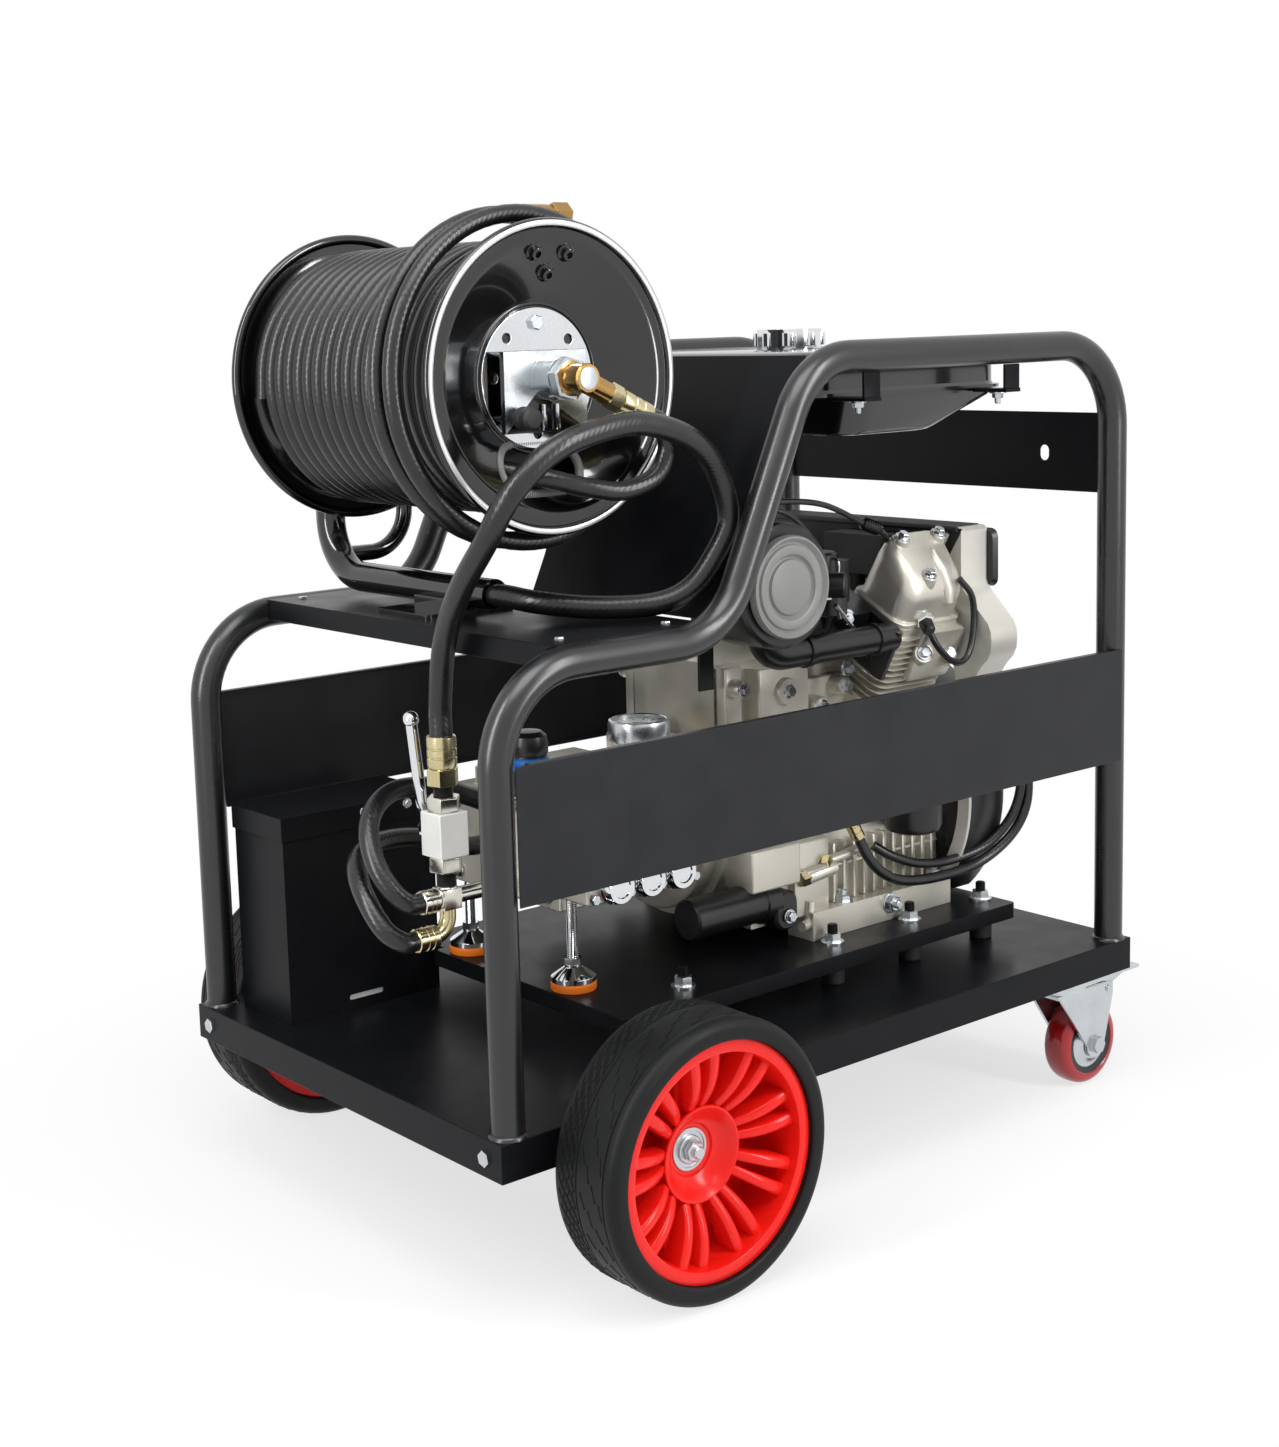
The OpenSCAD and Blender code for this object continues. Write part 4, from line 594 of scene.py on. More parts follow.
# Covers on the right side, mirrored to the left: from and to in x, y and z
covers = [(-20, 4, 62, 84, 425, 528), (22, 98, 62, 92, 425, 522), (98, 168, 62, 80, 425, 500),
          (96, 276, 108, 121, 291, 296), (-18, 276, 108, 124, 410, 430), (-34, 38, 90, 136, 290, 336),
          (40, 94, 90, 124, 246, 330)]
bosses = [(60, 494, 15), (112, 470, 11), (-8, 505, 9), (40, 448, 10), (150, 488, 10)]
form = bmesh.new()
for s in (-1, 1):
    for x0, x1, y0, y1, z0, z1 in covers:
        block(form, (x0, min(s * y0, s * y1), z0), (x1, max(s * y0, s * y1), z1))
rounded(form, 7, 4)
for s in (-1, 1):
    for x, z, r in bosses:
        lathe(form, [(r + 3, 70), (r, 92), (r, 97), (r - 1.2, 98.5)], (x, 0, z), (0, s, 0), 32)
    lathe(form, [(7, 0), (8.5, 2), (8.5, 44)], (52, s * 128, 291), (1, 0, 0.1), 28)
    tube(form, bent([(62, s * 126, 262), (58, s * 128, 238), (44, s * 130, 238)], 8), 5.5, 16)
    tube(form, [(86, s * 124, 302), (112, s * 128, 306), (134, s * 127, 309)], 5.4, 16)
piece("crankcase_covers", form, cast_aluminium, sharp=40)
places = [((x, s * 125, 420), (0, s, 0)) for s in (-1, 1) for x in (6, 70, 136, 202, 262)]
places += [((x, s * 98.4, z), (0, s, 0)) for s in (-1, 1) for x, z, _ in bosses]
places += [((15, s * 140, 258), (0, s, 0)) for s in (-1, 1)]
screws("crankcase_screws", hex_screw(6, 5, 8), places)
places = [((178, s * 137, 240), (0, s, 0)) for s in (-1, 1)]
places += [((x, s * 126, 252), up) for x in (112, 262) for s in (-1, 1)]
screws("foot_screws", hex_screw(9, 7, 12, 6), places)

# Cylinders and heads: two finned barrels in a V, each with a finned head and a bolted rocker cover.
# The left one shows above the side panel, with two screwed bosses on its outer side.
crank = Vector((0, 0, 345))
lean = radians(28)


def on_cylinder(x, sign, local):
    """Point from a cylinder's own frame, with +Z along it and +Y inwards, to the machine's frame."""
    mirrored = Vector((local[0], -sign * local[1], local[2]))
    return Matrix.Rotation(-sign * lean, 3, "X") @ mirrored + Vector((x, 0, crank.z))


def ring_of(length, width, corner, z, steps=5, shift=(0, 0)):
    """Rounded rectangle at a height, as points in mm."""
    points = []
    for cx, cy, start in ((1, 1, 0), (-1, 1, 90), (-1, -1, 180), (1, -1, 270)):
        for i in range(steps + 1):
            a = radians(start + 90 * i / steps)
            points.append((shift[0] + cx * (length / 2 - corner) + corner * cos(a),
                           shift[1] + cy * (width / 2 - corner) + corner * sin(a), z))
    return points


def sloped(point):
    """Lifts a rocker cover's point, the more the nearer to the engine's middle, from the lip upwards."""
    x, y, z = point
    return x, y, z + 0.58 * (y + 38) * min(max((z - 264) / 39, 0), 1)


for name, x, sign in (("left", 224, -1), ("right", 196, 1)):
    at = partial(on_cylinder, x, sign)
    turn = Euler((-sign * lean, 0, 0))
    axis = at(up) - at((0, 0, 0))
    boss_way = Vector((-0.42, sign * 0.86, 0.28))
    head_bosses = [(at((lx, -46, z)), r) for lx, z, r in ((-6, 222, 12), (40, 214, 9))]
    form = bmesh.new()
    loft(form, [ring_of(96, 82, 36, z) for z in (150, 205)], at)
    loft(form, [ring_of(100, 86, 12, z) for z in (205, 258)], at)
    side_rings = [(66, 14, 4, 192), (70, 16, 5, 196), (70, 16, 5, 250), (64, 14, 4, 256)]
    loft(form, [ring_of(*r, shift=(16, -46)) for r in side_rings], at)
    for spot, r in head_bosses:
        lathe(form, [(r + 3, -30), (r, 4), (r, 16), (r - 1.5, 18)], spot, boss_way, 28)
    piece(name + "_cylinder_core", form, cast_aluminium, ["engine_cylinders", "cylinder_heads"])
    fin = bmesh.new()
    loft(fin, [ring_of(104, 94, 14, 0), ring_of(107, 97, 15, 0.7), ring_of(107, 97, 15, 1.8),
               ring_of(104, 94, 14, 2.5)])
    places = [(at((0, 0, z)), turn) for z in range(158, 254, 8)]
    repeated(name + "_cylinder_fins", fin, places, cast_aluminium, sharp=50)
    cover = bmesh.new()
    rings = [(106, 84, 16, 258), (106, 84, 16, 263), (104, 82, 16, 264), (99, 77, 19, 265), (98, 76, 20, 268),
             (96, 74, 20, 288), (93, 71, 20, 294), (86, 64, 19, 299), (76, 54, 17, 302), (62, 40, 14, 303)]
    loft(cover, [ring_of(*r) for r in rings], lambda p: at(sloped(p)))
    bolts = [at(sloped((cx, cy, 303))) for cx, cy in ((-27, 20), (32, 20), (-12, -22))]
    for bolt in bolts:
        lathe(cover, [(10.5, -14), (9.6, 0.4), (8.6, 2)], bolt, axis, 24)
    ridge = [at(sloped(p)) for p in ((12, 22, 296), (13, 6, 299), (15, -14, 298), (17, -30, 293),
                                     (18, -38, 284))]
    tube(cover, ridge, [4, 9, 11, 10, 7], 20)
    piece(name + "_rocker_cover", cover, cast_aluminium, ["valve_covers"], 28)
    places = [(bolt + 1.8 * axis, axis) for bolt in bolts]
    places += [(spot + 18 * boss_way, boss_way) for spot, _ in head_bosses]
    screws(name + "_head_screws", hex_screw(6, 5, 8.5), places)


# Blower housing: a moulded black scroll round the flywheel with a guard at the rear, under a hood of
# silver-painted sheet that leads the air over both cylinders. A black cover closes the hood's back.
def cut_below(form, z):
    """Takes away what is below a height, and gives the edges of the cut."""
    cut = bmesh.ops.bisect_plane(form, geom=form.verts[:] + form.edges[:] + form.faces[:], plane_co=(0, 0, z),
                                 plane_no=up, clear_inner=True)
    return [e for e in cut["geom_cut"] if isinstance(e, bmesh.types.BMEdge)]


abs_black = surface("abs_moulded_black", "#0c0c0d", "#141415", 0.32, 0.06, 1.3, 0.012)
silver_paint = surface("steel_sheet_silver_paint", "#d2cfc6", "#dfdcd4", 0.4, 0.06, 1.8, 0.02, Metallic=0.35)
form = bmesh.new()
scroll = [(119, 284), (119, 281), (160, 280), (164, 282), (165, 286), (165, 339), (163, 343), (158, 345),
          (120, 345), (119, 343)]
lathe(form, scroll, crank, back, 96, "ring")
bmesh.ops.holes_fill(form, edges=cut_below(form, 226))
lathe(form, [(21, 280.5), (119.5, 280.5), (119.5, 284), (21, 284)], crank, back, 64, "ring")
back_rings = [[(x, y, 620.5 + z) for y, z, _ in ring_of(2 * half, tall, 10, 0, 6)]
              for x, half, tall in ((324, 163, 63), (331, 165, 67), (334, 162, 64))]
loft(form, back_rings)
piece("blower_scroll", form, abs_black, ["fan_housing"])
form = bmesh.new()
for r in (38, 58, 78, 98, 116):
    wire = [radians(45 * i) for i in range(8)]
    lathe(form, [(r + 1.6 * cos(a), 341 + 1.6 * sin(a)) for a in wire], crank, back, 64, "ring")
lathe(form, [(24, 338), (26, 340), (24, 344), (0, 344.5)], crank, back, 32)
piece("blower_guard_rings", form, abs_black)
spoke = bmesh.new()
tube(spoke, [(0, 24, 0), (0, 122, 0)], 1.8, 8)
places = [(crank + 341 * back, Euler((radians(30 * i), 0, 0))) for i in range(12)]
repeated("blower_guard_spokes", spoke, places, abs_black)
hood_half = [(140, 168), (150, 110), (184, 158), (192, 166), (197, 176), (198, 188), (197, 198), (193, 207),
             (160, 240), (156, 245), (154, 252), (154, 309), (150, 313)]
hood_edge = [(-y, z) for y, z in hood_half] + [(y, z) for y, z in reversed(hood_half)]
form = bmesh.new()
loft(form, [[(x, y, crank.z + z) for y, z in hood_edge] for x in (280, 324.5)])
rounded(form, 2.5, 3)
piece("blower_hood", form, silver_paint)
form = bmesh.new()
lathe(form, [(150, 278.6), (166, 278.6), (167, 279.4), (167, 282), (166, 283), (150, 283)], crank, back, 96,
      "ring")
cut_below(form, 232)
piece("blower_edge_strip", form, silver_paint)

# Oil filter and starter: a spin-on can beside the block, and a barrel with a cap over its end, the same on
# both sides of the engine. Black, a moulded or enamelled skin with a dull gloss.
form = bmesh.new()
for s in (-1, 1):
    lathe(form, [(24, 0), (30, 3), (33, 9), (33, 78)], (206, s * 146, 320), up, 40)
    lathe(form, [(20, -112), (22, -110), (22, -14), (24, -12), (24, 8), (22, 10)], (0, s * 116, 274), back,
          40)
    loft(form, [[(x + 14, s * y, z + 264) for x, z, _ in ring_of(*size, 5)]
                for y, size in ((114, (34, 44, 15, 0)), (136, (34, 44, 15, 0)), (139, (28, 38, 13, 0)))])
piece("oil_filter_and_starter", form, abs_black, sharp=30)

# Air cleaner: a moulded canister with a clipped cap, and a fat elbow to the flange on the left head.
# The cap is warm grey with two pressed grooves, the rest black with a dull gloss.
abs_grey = surface("abs_moulded_warm_grey", "#7d7d7a", "#898986", 0.42, 0.05, 1.2, 0.01)
air = Vector((-38, 0, 627))
form = bmesh.new()
can = [(58, 118), (63, 121), (65, 128), (65.6, 176), (65.6, 190), (64.5, 194), (61, 196.3)]
lathe(form, can, air, to_left, 80)
elbow_line = bent([(-30, -150, 600), (-30, -150, 547), (168, -150, 547)], 30, 10)
tube(form, elbow_line, 16, 28)
for x in (34, 140):
    lathe(form, [(15.5, -4), (18, -3.4), (18, 3.4), (15.5, 4)], (x, -150, 547), back, 36, "ring")
piece("air_cleaner_can", form, abs_black, ["air_cleaner"], 30)
form = bmesh.new()
block(form, (-56, -124, 567), (-20, -70.4, 599))
block(form, (-48, -74.3, 505), (-28, -70.4, 597))
loft(form, [ring_of(9, 96, 4, z, 3, (0, -4)) for z in (200, 203, 258, 262)], partial(on_cylinder, 164.5, -1))
loft(form, [ring_of(62, 52, 14, z, 3, (0, 14)) for z in (222, 226, 262, 266)], partial(on_cylinder, 130, -1))
piece("intake_flange", form, abs_black, sharp=30)
form = bmesh.new()
lid = [(26, 205), (28, 204.2), (29.5, 201.6), (31, 201.2), (32.5, 202.2), (34, 204.8), (36, 205.6),
       (41, 205.8), (43, 205.2), (44.4, 202.8), (46, 202.6), (47.4, 204), (50, 206.6), (52, 206.4),
       (53.2, 204), (53.4, 198), (52.6, 196.6)]
lathe(form, lid, air, to_left, 80)
piece("air_cleaner_lid", form, abs_grey, ["air_cleaner_cap"], 30)

# Carburettor and its links by the left head: a cast body behind the air cleaner with two bright
# wires from the governor, clamped at their lower ends.
form = bmesh.new()
for x, y, z, r, tall in ((66, -118, 590, 24, 58), (104, -104, 604, 20, 40), (98, -128, 576, 17, 34)):
    lathe(form, [(r - 2, 0), (r, 2), (r, tall - 3), (r - 3, tall)], (x, y, z), up, 32)
lathe(form, [(14, 0), (14, 44), (12, 46)], (66, -118, 612), (0.6, -0.8, 0), 28)
loft(form, [[(x + 112, y - 92, z) for x, y, z in ring_of(70, 44, 10, h, 3)] for h in (560, 563, 628, 632)])
piece("carburettor_body", form, abs_black, sharp=30)
form = bmesh.new()
for x in (84, 104):
    tube(form, bent([(x, -132, 604), (x, -134, 636), (x + 2, -110, 640)], 6, 15), 1.7, 8)
    block(form, (x - 5, -140, 596), (x + 5, -131, 607))
tube(form, [(86, -146, 590), (120, -140, 560)], 2.4, 8)
piece("governor_links", form, zinc_plate, sharp=30)
screws("flange_screws", hex_screw(6, 6, 9), [((121, -128, 572), (-0.4, -0.9, 0.1)),
                                             ((131, -118, 513), to_left)])

# Muffler: a pressed steel box between the heads with a folded guard against the hood. Heat-proof
# black paint, a little dusty.
stove_black = surface("steel_heat_proof_black", "#0f0f10", "#181817", 0.5, 0.1, 2, 0.03)
dressed("muffler", stove_black, 3)
guard = [(150, 657), (-156, 657), (-151, 648), (-128, 612), (-60, 590), (150, 590)]
form = bmesh.new()
loft(form, [[(x, y, z) for y, z in guard] for x in (278.4, 279.8)])
tube(form, [(276, 150, 656), (276, -152, 656)], 3, 10)
block(form, (279, -142, 657.8), (324, 152, 659))
piece("muffler_guard", form, stove_black)
form = bmesh.new()
tube(form, [(277, -136, 652), (277, -116, 618)], 4, 8)
piece("guard_stay", form, silver_paint)

# Drive shaft: ground steel through the pump and the engine, with the cast flywheel at the fan's end.
# Hardly any of it shows, so it has one plain finish.
dressed("drive_shaft", zinc_plate, 1)

# Pump: a cast crankcase with a bell to the engine, and a forged manifold with three plated valve
# caps on its left side. The regulator and the gauge stand on the manifold.
for node, soft in (("pump_crankcase", 6), ("pump_manifold", 4), ("pressure_regulator", 2)):
    dressed(node, cast_aluminium, soft)
form = bmesh.new()
for x in (-212, -170, -128):
    lathe(form, [(19, 117), (19.4, 118), (19.4, 120.5), (17.6, 121.4), (17.2, 130), (16, 132.6), (11, 133),
                 (10, 131.4), (0, 131.2)], (x, 0, 332), to_left, 40)
piece("manifold_cap_nuts", form, chrome_plate, ["manifold_caps"], 30)
places = [((x, -118, z), to_left) for x in (-238, -191, -149, -102) for z in (322, 366)]
screws("manifold_screws", hex_screw(5.5, 5, 0), places)
places = [((-241, y, z), forward) for y in (-45, 110) for z in (312, 390)]
screws("pump_screws", hex_screw(6, 5, 8), places)
yellow_cap = surface("polypropylene_yellow", "#e3b912", "#d2a70c", 0.35, 0.05, 2, 0.01)
filler = (-50, 0, 433)
form = bmesh.new()
lathe(form, [(9, 0), (9, 20)], filler, up, 24)
piece("oil_filler_neck", form, zinc_plate)
form = bmesh.new()
lathe(form, [(11, 20.2), (12, 21.2), (12, 28), (10.6, 29.6), (5, 30), (5, 35), (4, 36)], filler, up, 32)
piece("oil_filler_cap", form, yellow_cap)
blue_ring = surface("nylon_moulded_blue", "#1767b8", "#125aa5", 0.3, 0.05, 2, 0.01)
form = bmesh.new()
knob = Vector((-305, -105, 440))
profile = [(7.1, 0), (17.6, 0), (18.8, 1.2), (18.8, 25), (18.6, 26), (20, 27.2), (20, 31), (18.8, 31.8),
           (18.8, 33), (20, 33.8), (20, 38), (18.4, 39), (18.2, 41), (19.4, 43), (19.6, 52), (18, 60),
           (13, 64.2), (6, 65), (0, 65)]
lathe(form, profile, knob, up, 48, "open")
for face in form.faces:
    face.material_index = 0 if 466 < face.calc_center_median().z < 479 else 1
piece("regulator_grip", form, [blue_ring, abs_black], ["regulator_knob"], 30,
      body="regulator_screw")
form = bmesh.new()
gauge = Vector((-157, -99, 471))
lathe(form, [(7, -96), (7, -1), (26, 0), (31, 2), (32, 5), (32, 20), (31, 23), (29, 24), (28, 23), (28, 18)],
      gauge, up, 48)
lathe(form, [(10, 0), (10, 12)], gauge - 18 * up, up, 6)
piece("gauge_case", form, zinc_plate, ["pressure_gauge"], 30)
dial_white = surface("enamel_dial_white", "#e9e9e4", "#dedfd9", 0.4, 0.05, 2, 0.004)
form = bmesh.new()
lathe(form, [(27.9, 0), (27.9, 0.4)], gauge + 18.1 * up, up, 48)
piece("gauge_dial", form, dial_white)
mark = bmesh.new()
block(mark, (20, -0.6, 0), (26, 0.6, 0.3))
places = [(gauge + 18.5 * up, Euler((0, 0, radians(-45 + 27 * i)))) for i in range(11)]
repeated("gauge_marks", mark, places, abs_black)
form = bmesh.new()
block(form, (-1, -18, 0), (1, 6, 0.5))
bmesh.ops.rotate(form, verts=form.verts, matrix=Matrix.Rotation(0.6, 3, "Z"))
bmesh.ops.translate(form, verts=form.verts, vec=gauge + 19 * up)
piece("gauge_needle", form, abs_black)

# Battery box: folded and welded steel with a lift-off lid on two screws. A plain lead battery stands
# inside, held by pale webbing that shows in the slot at the foot of the box.
for node in ("battery_box", "battery_box_lid"):
    dressed(node, powder_coat, 1.2)
dressed("battery", abs_black, 2)
webbing = surface("polyester_webbing_pale", "#eceeee", "#dde0e1", 0.8, 0.05, 1, 0.05)
form = bmesh.new()
block(form, (-377, 140.2, 184), (-322, 141.6, 194))
piece("battery_strap", form, webbing)
places = [((x, 135.7, 390), to_left) for x in (-345, -290)]
screws("box_lid_screws", hex_screw(4.6, 3, 5.6), places)

# Ball valve: a square block of blasted steel with a nut at each end and crimped fittings to the hoses.
# The nuts are nickel plated, and the fittings are zinc with a yellow passivation, a pale gold.
nickel_plate = surface("nickel_plate_satin", "#cbc8be", "#dad7ce", 0.22, 0.06, 1.2, 0.004, Metallic=1)
yellow_zinc = surface("zinc_plate_yellow_passivated", "#c2b487", "#d4c9a4", 0.24, 0.07, 1.5, 0.006,
                      Metallic=1)
blasted_steel = surface("steel_block_bead_blasted", "#dcdbd6", "#e8e7e3", 0.5, 0.05, 0.8, 0.01, Metallic=0.25)
dressed("valve_body", blasted_steel, 1.2)


def hex_nut(form, at, axis, radius, length):
    """A hex nut with chamfered ends, from a point along an axis."""
    soft = radius * 0.88
    lathe(form, [(soft, 0), (radius, 1.2), (radius, length - 1.2), (soft, length)], at, axis, 6)


def ferrule(form, at, axis, radius, length):
    """A sleeve crimped on a hose's end, with three pressed bands."""
    outline = [(radius - 1.2, 0), (radius - 0.2, 0.8)]
    for low, high in ((0.1, 0.34), (0.42, 0.62), (0.7, 0.94)):
        outline += [(radius, low * length), (radius, high * length), (radius - 0.8, (high + 0.02) * length)]
        outline += [(radius - 0.8, (high + 0.06) * length)]
    lathe(form, outline[:-2] + [(radius - 0.8, length)], at, axis, 36)


valve = Vector((-400, -92, 0))
nuts, sleeves, threads = bmesh.new(), bmesh.new(), bmesh.new()
hex_nut(nuts, valve + 438 * up, up, 17, 15)
hex_nut(nuts, valve + 378 * up, up, 17, 16)
hex_nut(sleeves, valve + 463 * up, up, 16, 18)
ferrule(sleeves, valve + 512 * up, -up, 14.5, 31)
for low, high in ((452, 464), (363, 379)):
    outline = []
    for k in range(int((high - low) / 2)):
        outline += [(10, low + 2 * k), (8.8, low + 2 * k + 1)]
    lathe(threads, outline + [(8.8, high)], valve, up, 24)
tee = valve + 352 * up
for way in (up, forward, back):
    lathe(nuts, [(10.4, 0), (10.4, 11), (9.6, 12.2)], tee, way, 24)
block(nuts, tee - Vector((10.4, 10.4, 10.4)), tee + Vector((10.4, 10.4, 10.4)))
rounded(nuts, 0.8)
tube(nuts, [tee - 11 * forward, tee - 77 * forward], 8, 24)
hex_nut(nuts, tee - 58 * forward, back, 12, 18)
tube(nuts, [tee + 11 * forward, tee + 20 * forward], 8, 24)
ferrule(nuts, tee + 32 * forward, back, 12, 18)
tube(sleeves, bent([tee - 10 * up, tee - 36 * up, tee - 36 * up + 30 * forward], 18), 8, 24)
ferrule(sleeves, tee - 36 * up + 40 * forward, back, 12, 24)
for end in ((-262, -4, 410), (-262, 32, 358)):
    ferrule(nuts, end, back, 12, 22)
piece("valve_nuts", nuts, nickel_plate, ["valve_fittings"], 25)
piece("valve_ferrules", sleeves, yellow_zinc, ["valve_fittings"], 25)
piece("valve_threads", threads, stove_black, sharp=25)
form = bmesh.new()
lathe(form, [(5, 2), (5, 38.5)], valve + 416 * up, -to_left, 24)
hex_nut(form, Vector((-400, -67.5, 416)), -to_left, 9, 10)
handle = Vector((-0.1045, 0, 0.9945))
grip = Vector((-403, -60.5, 432))
tube(form, bent([(-392, -60.5, 412), grip + 8 * handle, grip + 92 * handle], 26), 6, 20)
lathe(form, [(8 * sin(a), -8 * cos(a)) for a in [pi * i / 12 for i in range(13)]], grip + 94 * handle, handle,
      24)
piece("valve_handle", form, chrome_plate, ["valve_lever"], 30, body="outlet_valve")


# Hoses: rubber over wire braid, wrapped in cloth tape while it cures, which leaves a fine weave.
# The supply hose rises from the valve, loops beside the reel and goes into the stand's mouth.
def route(points, steps=8):
    """Smooth line through the points of a hose."""
    ends = [2 * Vector(points[0]) - Vector(points[1]), *map(Vector, points),
            2 * Vector(points[-1]) - Vector(points[-2])]
    line = []
    for a, b, c, d in zip(ends, ends[1:], ends[2:], ends[3:]):
        for i in range(steps):
            t = i / steps
            line.append(0.5 * (2 * b + (c - a) * t + (2 * a - 5 * b + 4 * c - d) * t * t
                               + (3 * b - a - 3 * c + d) * t ** 3))
    return line + [Vector(points[-1])]


# Hose rubber: dull black neoprene with the print of the wrapping cloth, drawn at 1.6 mm to show
hose_rubber = bpy.data.materials.new("hose_rubber_cloth_wrapped")
hose_rubber.use_nodes = True
cover = hose_rubber.node_tree
along_hose = add(cover, "ShaderNodeUVMap").outputs[0]
warp = add(cover, "ShaderNodeTexWave", {"Vector": along_hose, "Scale": 1000 / 1.6 / 6.2832,
                                        "Distortion": 0.4}, bands_direction="DIAGONAL")
rub = add(cover, "ShaderNodeTexNoise", {"Vector": add(cover, "ShaderNodeTexCoord").outputs["Object"],
                                        "Scale": 60, "Detail": 6})
rubber_tone = add(cover, "ShaderNodeMix", {0: rub.outputs[0], 6: linear("#0c0c0e"), 7: linear("#1a1a1c")},
                  data_type="RGBA")
rubber_rough = add(cover, "ShaderNodeMapRange", {0: rub.outputs[0], 1: 0.3, 2: 0.7, 3: 0.26, 4: 0.36})
weave = add(cover, "ShaderNodeBump", {"Height": warp.outputs[1], "Distance": 0.00012, "Strength": 0.6})
hose_shader = cover.nodes["Principled BSDF"]
hose_shader.inputs["Specular IOR Level"].default_value = 0.55
cover.links.new(rubber_tone.outputs[2], hose_shader.inputs["Base Color"])
cover.links.new(rubber_rough.outputs[0], hose_shader.inputs["Roughness"])
cover.links.new(weave.outputs[0], hose_shader.inputs["Normal"])

supply_points = [
    (-400, -92, 512), (-400, -93, 547), (-405, -112, 608), (-418, -158, 660), (-420, -200, 704),
    (-410, -229, 750), (-374, -241, 785), (-325, -243, 801), (-266, -242, 806), (-203, -238, 788),
    (-160, -229, 752), (-143, -226, 706), (-159, -219, 668), (-180, -209, 641), (-210, -193, 628),
    (-260, -164, 627), (-298, -122, 632), (-309, -85, 636), (-310, -60, 636), (-310, -25, 636)]
jumper_points = [
    (-231, -210, 811), (-214, -210, 802), (-205, -208, 778), (-219, -205, 752), (-255, -200, 741),
    (-290, -190, 746), (-320, -174, 755), (-342, -155, 761), (-358, -138, 766), (-366, -128, 769)]
tee_points = [
    (-432, -92, 352), (-444, -91, 353), (-456, -82, 366), (-462, -64, 390), (-456, -44, 416),
    (-436, -26, 436), (-400, -12, 446), (-350, -6, 440), (-310, -4, 424), (-282, -4, 412), (-262, -4, 410)]
elbow_points = [
    (-440, -92, 316), (-452, -91, 317), (-466, -80, 330), (-470, -58, 354), (-463, -32, 374), (-444, -8, 386),
    (-410, 12, 390), (-360, 26, 384), (-315, 32, 370), (-286, 32, 360), (-262, 32, 358)]


def laid(name, points, thick, sides, stands_for=(), body="chassis"):
    """A hose or lead of a thickness in mm through the points."""
    line = route(points)
    form = bmesh.new()
    tube(form, line, thick / 2, sides)
    hose = piece(name, form, hose_rubber, stands_for, body=body)


laid("supply_hose_cover", supply_points, 23, 20, ["supply_hose"])
laid("jumper_hose_cover", jumper_points, 19, 20, ["jumper_hose"], "reel")
laid("tee_hose_cover", tee_points, 20, 20, ["pump_hoses"])
laid("elbow_hose_cover", elbow_points, 20, 20, ["pump_hoses"])

# Engine's own hoses and leads: two oil hoses that loop low round the blower, the plug with its lead, and
# two cables from the console, one with a ribbed boot. Oil-proof rubber, with zinc fittings.
lead_ends = bmesh.new()
ferrule(lead_ends, (122, -142, 326), (-0.45, 0.1, 0.9), 8, 26)
hex_nut(lead_ends, (86, -124, 300), (0.3, -0.9, 0.2), 10, 9)
lathe(lead_ends, [(8, 0), (9, 1), (9, 11), (8, 12)], (44, -128, 290), (1, 0, 0.1), 6)
piece("oil_line_fittings", lead_ends, yellow_zinc, sharp=25)
plug, plug_way = Vector((205, -170, 556)), Vector((0.35, 0.72, 0.6)).normalized()
form = bmesh.new()
lathe(form, [(9, 14), (9, 20), (11, 20), (11, 24)], plug, plug_way, 32)
hex_nut(form, plug + 5 * plug_way, plug_way, 10.5, 9)
piece("spark_plug", form, chrome_plate, sharp=25)
form = bmesh.new()
lathe(form, [(5, -9), (7, -7), (7.6, -2), (7.6, 5), (6.6, 6)], plug, plug_way, 24)
piece("plug_cap", form, abs_black)
boot = bmesh.new()
outline = [(4.6, 0)]
for k in range(6):
    outline += [(6.4, 2 + 4 * k), (7.6, 3 + 4 * k), (6.2, 5 + 4 * k)]
lathe(boot, outline + [(5, 28), (0, 30)], (146, -130, 673), (0.94, 0, -0.33), 24)
piece("cable_boot", boot, abs_black)
engine_leads = {
    "oil_hose_front": ([(122, -142, 326), (132, -146, 304), (150, -148, 284), (181, -150, 268),
                        (235, -152, 261), (300, -158, 266), (345, -168, 290), (366, -176, 324),
                        (368, -178, 366), (360, -174, 410)], 12),
    "oil_hose_rear": ([(166, -122, 306), (186, -132, 292), (222, -140, 278), (270, -146, 274),
                       (320, -158, 286), (350, -170, 318), (356, -178, 360), (350, -174, 408)], 11),
    "plug_lead": ([(205, -170, 556), (214, -176, 534), (232, -180, 516), (252, -180, 512), (268, -178, 526),
                   (276, -176, 556), (272, -176, 584), (256, -172, 604)], 7.5),
    "choke_cable": ([(-96, -112, 690), (-30, -122, 704), (23, -130, 706), (84, -132, 698), (146, -130, 673),
                     (176, -130, 661), (196, -122, 642)], 6.5),
    "stop_cable": ([(-96, -106, 682), (-20, -122, 700), (26, -130, 694), (58, -132, 670), (78, -132, 640),
                    (90, -138, 604), (94, -144, 574)], 6),
}
for name, (points, thick) in engine_leads.items():
    laid(name, points, thick, 16)

# Reel stand: bent steel tube on a foot plate, with an open mouth that takes the supply hose and a
# bearing housing up the far side. Sprayed with gloss enamel, as the reel is.
gloss_enamel = surface("steel_gloss_enamel_black", "#070708", "#0b0b0d", 0.13, 0.04, 4, 0.01, Coat_Weight=0.5,
                       Coat_Roughness=0.04)
dressed("reel_stand", gloss_enamel, 1)
